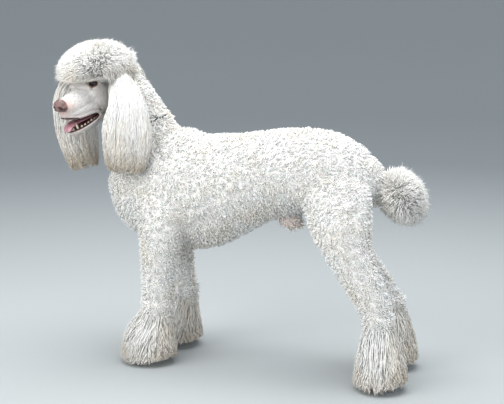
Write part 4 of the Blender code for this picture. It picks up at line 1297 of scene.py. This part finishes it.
def region_of(points):
    """Which part of the body each point of the skin belongs to."""
    p = own(points)
    names = np.full(len(p), "torso_left ", dtype="U16")
    names[p[:, 1] > 0] = "torso_right"
    fore = ~above_line(p, (-0.30, 0.340), (-0.12, 0.340)) & (p[:, 0] < -0.10) & (np.abs(p[:, 1]) > 0.035)
    hind = ~above_line(p, (0.13, 0.425), (0.39, 0.445)) & (p[:, 0] > 0.13) & (np.abs(p[:, 1]) > 0.028)
    names[fore & (p[:, 1] < 0)] = "foreleg_left"
    names[fore & (p[:, 1] > 0)] = "foreleg_right"
    names[hind & (p[:, 1] < 0)] = "hindleg_left"
    names[hind & (p[:, 1] > 0)] = "hindleg_right"
    names[above_line(p, (-0.405, 0.505), (-0.185, 0.630)) & (p[:, 0] < -0.10)] = "neck"
    tail = (p[:, 0] > 0.318) & (p[:, 2] > 0.47) & (np.abs(p[:, 1]) < 0.030)
    names[tail & above_line(p, (0.318, 0.530), (0.352, 0.480))] = "tail"
    return np.char.strip(names)


def sheath_share(points):
    """1 on the bare skin of the sheath under the belly, 0 away from it."""
    away = np.linalg.norm((own(points) - np.array(SHEATH_PLACE)) / (np.array(SHEATH_RADII) * 1.15), axis=1)
    return fade(-away, -1.25, -1.0)


def coated(name):
    """The share of the full density at places of a region of the body skin."""

    def density(centres, normals):
        p = own(centres)
        inside = (region_of(centres) == name).astype(float)
        bell = np.where(p[:, 0] < 0.1, 0.118, 0.128)
        inside *= p[:, 2] > bell
        inside *= 1 - 0.7 * sheath_share(centres)
        head_space = head_local(centres)
        within = (np.abs(head_space[:, 1]) < 0.045) & (head_space[:, 0] > -0.02) & (head_space[:, 2] > -0.09)
        return inside * ~within

    return density


def coat_height(collar_middle, collar_axis):
    """The coat's depth: short under the collar in front, and over the collar elsewhere."""

    def height(at):
        away = np.abs((at - collar_middle) @ collar_axis)
        near = np.linalg.norm(at - collar_middle, axis=1) < 0.14
        band = np.where(near, fade(-away, -0.020, -0.010), 0.0)
        front = fade(-own(at)[:, 0], 0.330, 0.360)
        return COAT_DEPTH + band * (0.0055 * (1 - front) - 0.0060 * front)

    return height


def body_lie(name):
    """Back and down along the trunk, down the neck and legs."""
    if "leg" in name:
        return lambda at: np.array([0.15, 0.0, -1.0])
    if name == "neck":
        return lambda at: np.array([0.35, 0.0, -1.0])
    return lambda at: np.array([1.0, 0.0, -0.5])


def body_tan(at, facing):
    """Cream in patches, and a faint stain under the belly and at the elbows."""
    p = own(at)
    belly = fade(-p[:, 2], -0.385, -0.335) * fade(p[:, 0], -0.10, 0.0) * (p[:, 0] < 0.16)
    elbow = np.exp(-(((p[:, 0] + 0.14) / 0.05) ** 2) - ((p[:, 2] - 0.33) / 0.05) ** 2)
    chest = np.exp(-(((p[:, 0] + 0.30) / 0.07) ** 2) - ((p[:, 2] - 0.56) / 0.07) ** 2)
    low = fade(-p[:, 2], -0.22, -0.12)
    return 0.10 * belly + 0.14 * elbow + 0.12 * chest + 0.10 * low + draw.uniform(0, 0.08, len(p))


def body_coat(skin, look):
    surface = surface_of(skin)
    middle, axes, _ = flat_axes("collar")
    axis = axes[2]
    names = ["torso_left", "torso_right", "neck"] + [f"{leg}leg_{word}" for leg, word in FEET]
    for name in names:
        made = curls(
            "coat_" + name,
            surface,
            coated(name),
            body_lie(name),
            coat_height(middle, axis),
            look,
            body_tan,
        )
        finished(made, "coat", "torso" if "torso" in name else name)
    short = curls(
        "coat_tail",
        surface,
        coated("tail"),
        lambda at: np.array([0.5, 0.0, -0.8]),
        lambda at: np.full(len(at), 0.0035),
        look,
        lambda at, facing: np.full(len(at), 0.10),
        spacing=0.0030,
        cluster=0.010,
    )
    finished(short, "coat", "tail")


def face_hair(obj, look):
    """Very short flat hair over the shaved face, shorter beside the nose and thin at the lips."""
    surface = surface_of(obj)
    points, _, faces = surface
    local = head_local(points)
    amount = np.ones(len(points))
    for key, strength in (("lip", 1.0), ("mouth", 1.0), ("pink", 0.55)):
        column = np.zeros(len(points), np.float32)
        obj.data.attributes[key].data.foreach_get("value", column)
        amount *= 1 - strength * np.clip(column, 0, 1)
    nose_away = np.linalg.norm(local - [0.156, 0, -0.016], axis=1)
    amount *= fade(nose_away, 0.018, 0.030)
    for centre, radius, outward, along, over in EYES.values():
        amount *= fade(np.linalg.norm(points - (centre + outward * radius), axis=1), 0.0090, 0.0125)
    amount *= (local[:, 2] < 0.036) & (local[:, 0] > -0.070)
    amount *= lip_distance(points) > 0.0040
    weight = amount[faces].mean(1)
    at, facing = surface_places(surface, FACE_SPACING, lambda centres, normals: weight)
    back = -FORWARD * 1.0 + UPWARD * 0.15
    place = head_local(at)
    cheek = fade(-place[:, 2], 0.01, 0.05)[:, None]
    flow = back[None] - UPWARD[None] * cheek * 0.6 + LEFTWARD[None] * np.sign(place[:, 1])[:, None] * 0.25
    down = across_the(flow + draw.normal(0, 0.22, flow.shape), facing)
    long = FACE_HAIR * draw.uniform(0.7, 1.25, len(at)) * (0.55 + 0.45 * fade(-place[:, 0], -0.14, -0.09))
    steps = np.array([0.0, 0.5, 1.0])
    lift = np.array([-0.0003, 0.0010, 0.0012])
    rise = draw.uniform(0.6, 1.4, len(at))
    paths = [at + down * (long * s)[:, None] + facing * (h * rise)[:, None] for s, h in zip(steps, lift)]
    paths = np.stack(paths, 1)
    widths = np.outer(draw.uniform(0.8, 1.2, len(at)), [0.9, 0.75]) * 0.0012
    shade = draw.uniform(0.6, 1.0, len(at))
    stain = sum(fade(-lid_corner(at, word), -0.015, -0.006) for word in EYES)
    tan = 0.06 + 0.9 * np.clip(stain, 0, 1) + 0.10 * fade(-nose_away_of(at), -0.05, -0.03)
    tan = np.clip(tan, 0, 1)
    made = tuft_object("coat_face", paths, widths, facing, unwrap(at, facing), look, tan, shade, 0.5)
    return finished(made, "shaved_face", "head", "lower_jaw")


def nose_away_of(points):
    return np.linalg.norm(head_local(points) - [0.156, 0, -0.016], axis=1)


def ears(look):
    """Both hanging ears: long wavy locks over the leather, curled and creamy at their ends."""
    shape = {
        "count": 4000,
        "groups": 60,
        "rings": 6,
        "start": (0.02, 0.80),
        "span": (0.24, 0.60),
        "end": 1.0,
        "ragged": 0.26,
        "rear_rise": 0.0,
        "core": 0.84,
        "gather": 0.50,
        "wave": 0.0052,
        "tip_curl": 1.3,
        "turns": 12.0,
        "lift": 0.35,
        "width": 0.0026,
    }
    cores = []
    for word, stations, across in (
        ("left", EAR_LEFT, Vector((0.90, 0.30, 0))),
        ("right", EAR_RIGHT, Vector((0.45, 0.89, 0))),
    ):
        across = across.normalized()
        rows = moved(stations)

        def tan_of(tips, finish):
            return 0.06 + 0.50 * fade(finish, 0.72, 0.98) + draw.uniform(0, 0.12, len(finish))

        hanging("coat_ear_" + word, rows, across, shape, look, tan_of, ["ear_" + word])
        cores.append(ear_form(rows, across))
    return cores


def bell_stations(leg, word):
    """The bell of hair round a foot, from the leg to just above the floor, within the foot's box."""
    top, half = ankle(leg, word)
    low, high = box_of(f"{leg}foot_{word}")
    middle, reach = (low + high) / 2, (high - low) / 2
    return [
        (top[0], top[1], top[2] + 0.020, half[1] * 0.92, half[0] * 0.92),
        (top[0] * 0.7 + middle[0] * 0.3, top[1], top[2] - 0.022, half[1] * 1.12, half[0] * 1.14),
        (top[0] * 0.2 + middle[0] * 0.8, top[1], 0.070, reach[1] * 0.94, reach[0] * 0.94),
        (middle[0], top[1], 0.032, reach[1] * 1.0, reach[0] * 1.0),
        (middle[0], top[1], 0.004, reach[1] * 0.98, reach[0] * 0.98),
    ]


def bells(look):
    """The full hair of the feet: long tapering locks that fall in a bell to the floor."""
    shape = {
        "count": 2100,
        "groups": 70,
        "rings": 5,
        "start": (0.0, 0.80),
        "span": (0.22, 0.55),
        "end": 1.0,
        "ragged": 0.12,
        "rear_rise": 0.15,
        "core": 0.80,
        "gather": 0.40,
        "wave": 0.0034,
        "tip_curl": 0.5,
        "turns": 9.0,
        "lift": 0.45,
        "width": 0.0029,
        "floor": 0.0012,
    }
    cores = []
    for leg, word in FEET:
        rows = bell_stations(leg, word)
        rear = rows[3][0] + rows[3][4] * 0.2

        def tan_of(tips, finish, rear=rear):
            behind = fade(tips[:, 0], rear, rear + 0.05)
            low = fade(-tips[:, 2], -0.050, -0.005)
            return 0.05 + 0.35 * behind + 0.22 * low + draw.uniform(0, 0.10, len(tips))

        hanging(f"coat_{leg}foot_{word}", rows, Vector((0, 1, 0)), shape, look, tan_of, [f"{leg}foot_{word}"])
        cores.append(bell_form(rows))
    return cores


def topknot(look):
    """The rounded topknot, its straight line over the brow, and the hair down the nape."""
    core, outer = core_forms(TOPKNOT_CORE), core_forms(1.0)
    tree = tree_of(outer)
    drop(outer)
    shape = {
        "most": 0.050,
        "cluster": 0.0080,
        "flicks": 0.04,
        "gather": 0.20,
        "droop": 0.34,
        "curl": 0.0030,
        "rings": 4,
        "width": 0.0026,
    }

    def lie(at, facing):
        local = head_local(at)
        front = fade(local[:, 0], 0.01, 0.06)[:, None]
        return np.array([0.0, 0.0, -1.0]) * (1 - 0.5 * front) + FORWARD[None] * 0.5 * front

    def settle(paths):
        """Lifts hair off the face to the brow's straight line, and lets it fall over the tops of the ears."""
        local = head_local(paths.reshape(-1, 3))
        front = fade(local[:, 0], 0.015, 0.040) * fade(-np.abs(local[:, 1]), -0.095, -0.075)
        line = BROW_HEIGHT + 0.10 * np.maximum(np.abs(local[:, 1]) - 0.05, 0)
        below = np.maximum(line - local[:, 2], 0)
        beside = fade(np.abs(local[:, 1]), 0.060, 0.090) * fade(-local[:, 2], -0.070, -0.035) * (1 - front)
        rise = np.tile(np.linspace(0, 1, paths.shape[1]) ** 2, len(paths))
        lift = below * front * 0.74 - 0.018 * beside * rise
        return (paths.reshape(-1, 3) + UPWARD * lift[:, None]).reshape(paths.shape)

    def dome(centres, normals):
        local = head_local(centres)
        high = (local[:, 2] > 0.026) | ((local[:, 0] < -0.03) & (local[:, 2] > -0.06))
        return (high & (own(centres)[:, 0] < NAPE_LINE)).astype(float)

    def nape(centres, normals):
        local = head_local(centres)
        return ((own(centres)[:, 0] >= NAPE_LINE) & (local[:, 2] > -0.10)).astype(float)

    def tan_of(tips):
        return 0.05 + 0.10 * fade(-head_local(tips)[:, 2], -0.06, -0.02) + draw.uniform(0, 0.06, len(tips))

    for name, density in (("coat_topknot", dome), ("coat_nape", nape)):
        made = radiating(name, core, tree, density, TOPKNOT_SPACING, lie, shape, look, tan_of, settle)
        finished(made, "coat", "topknot")
    return core


def pompon(look):
    """The brushed-out pompon at the tail's end, wispy behind."""
    core, outer = pompon_form(POMPON_CORE), pompon_form(1.0)
    tree = tree_of(outer)
    drop(outer)
    shape = {
        "most": 0.060,
        "cluster": 0.0080,
        "flicks": 0.12,
        "gather": 0.18,
        "droop": 0.24,
        "curl": 0.0034,
        "rings": 4,
        "width": 0.0027,
    }
    made = radiating(
        "coat_pompon", core, tree, lambda c, n: np.ones(len(c)), POMPON_SPACING,
        lambda at, facing: np.array([0.6, 0.0, -0.6]), shape, look,
        lambda tips: 0.05 + draw.uniform(0, 0.10, len(tips)),
    )
    finished(made, "coat", "tail_pompon")
    return core


# The whole model

# Distance from the middle and height of the floor's rings.
FLOOR_PROFILE = [(4.4, 0.0), (4.5, 0.0), (6.0, 0.15), (7.2, 0.7), (8.0, 1.7), (8.4, 3.2), (8.5, 5.0)]


def build():
    coat = coat_material()
    skin_look = skin_material()
    for side, word in ((1, "left"), (-1, "right")):
        EYES[word] = eye_axes(side, word)
    body = body_skin()
    bare = sheath_share(points_of(body)[0])
    # The sheath's bare skin: pinker, and darkened brown as painted shade under the belly.
    give(body.data, "coat", 1 - 0.9 * bare)
    give(body.data, "pink", 0.45 * bare)
    give(body.data, "stain", 0.30 * bare)
    head_pieces = head_skin()
    body_coat(body, coat)
    face_hair(head_pieces[0], coat)
    cores = [*ears(coat), *bells(coat), topknot(coat), pompon(coat)]
    for core in cores:
        give(core.data, "coat", np.ones(len(core.data.vertices)))
    skin = joined("skin", [body, *head_pieces, *cores])
    skin.data.materials.append(skin_look)
    flesh = ["torso", "neck", "head", "lower_jaw", "topknot", "tail", "tail_pompon", "ear_left", "ear_right"]
    flesh += [f"{leg}{part}_{word}" for leg, word in FEET for part in ("leg", "foot")]
    finished(skin, "coat", *flesh)
    nose(leather_material("nose_leather", (0.235, 0.135, 0.125), (0.050, 0.026, 0.022), 0.42, 620.0, 0.0005))
    wet = leather_material("tongue", (0.46, 0.235, 0.275), (0.26, 0.100, 0.110), 0.32, 900.0, 0.0003)
    tongue(wet)
    gums(leather_material("gums", (0.26, 0.085, 0.075), (0.12, 0.040, 0.036), 0.30, 700.0, 0.0002))
    teeth(plain_material("teeth", (0.78, 0.70, 0.56), 0.30, scale=500.0))
    looks = [
        plain_material("pupil", (0.004, 0.003, 0.003), 0.04, scale=40.0, depth=0.0),
        plain_material("iris", (0.030, 0.013, 0.007), 0.06, scale=700.0, depth=0.0),
        plain_material("eye_white", (0.12, 0.07, 0.055), 0.12, scale=300.0, depth=0.0),
    ]
    for word in EYES:
        eye(word, looks)
    collar_piece(plain_material("collar_webbing", (0.012, 0.012, 0.014), 0.75, scale=900.0, depth=0.0004))
    ring_piece(plain_material("ring_steel", (0.55, 0.55, 0.56), 0.28, metallic=1.0))
    tag_piece(plain_material("tag_enamel", (0.012, 0.065, 0.19), 0.30, metallic=0.3))


def sweep():
    """A round floor whose rim curves up all round, so that no view shows an edge."""
    bm = bmesh.new()
    rings = []
    for reach, height in FLOOR_PROFILE:
        rings.append(ring_of(bm, Vector((0, 0, height)), Vector((reach, 0, 0)), Vector((0, reach, 0)), 96))
    bm.faces.new(rings[0])
    for first, second in zip(rings, rings[1:]):
        bridge(bm, first, second)
    bmesh.ops.recalc_face_normals(bm, faces=bm.faces)
    bmesh.ops.reverse_faces(bm, faces=bm.faces)
    return object_of(bm, "floor")


def surroundings():
    floor = sweep()
    look, tree, shader = new_material("floor")
    shader.inputs["Base Color"].default_value = (0.36, 0.38, 0.38, 1)
    shader.inputs["Roughness"].default_value = 0.9
    floor.data.materials.append(look)
    world = bpy.data.worlds.new("studio")
    world.use_nodes = True
    world.node_tree.nodes["Background"].inputs["Color"].default_value = (0.62, 0.68, 0.76, 1)
    world.node_tree.nodes["Background"].inputs["Strength"].default_value = 1.1
    bpy.context.scene.world = world
    for name, place, size, power, colour in (
        ("key", (-1.6, -2.6, 2.0), 3.0, 110, (1.0, 0.99, 0.97)),
        ("top", (0.2, 0.2, 3.0), 2.6, 110, (1.0, 1.0, 0.99)),
        ("side", (2.2, -2.4, 1.2), 2.5, 35, (0.92, 0.96, 1.0)),
    ):
        light = bpy.data.lights.new(name, "AREA")
        light.size = size
        light.energy = power
        light.color = colour
        lamp = bpy.data.objects.new(name, light)
        lamp.location = place
        lamp.rotation_euler = (Vector((0, 0, 0.45)) - lamp.location).to_track_quat("-Z", "Y").to_euler()
        bpy.context.scene.collection.objects.link(lamp)
    lens = bpy.data.cameras.new("camera")
    lens.lens = CAMERA_LENS
    lens.sensor_width = 36
    camera = bpy.data.objects.new("camera", lens)
    camera.location = CAMERA_PLACE + SHIFT
    camera.rotation_euler = CAMERA_TURN
    bpy.context.scene.collection.objects.link(camera)
    bpy.context.scene.camera = camera
    bpy.context.scene.view_settings.view_transform = "Standard"


build()
surroundings()
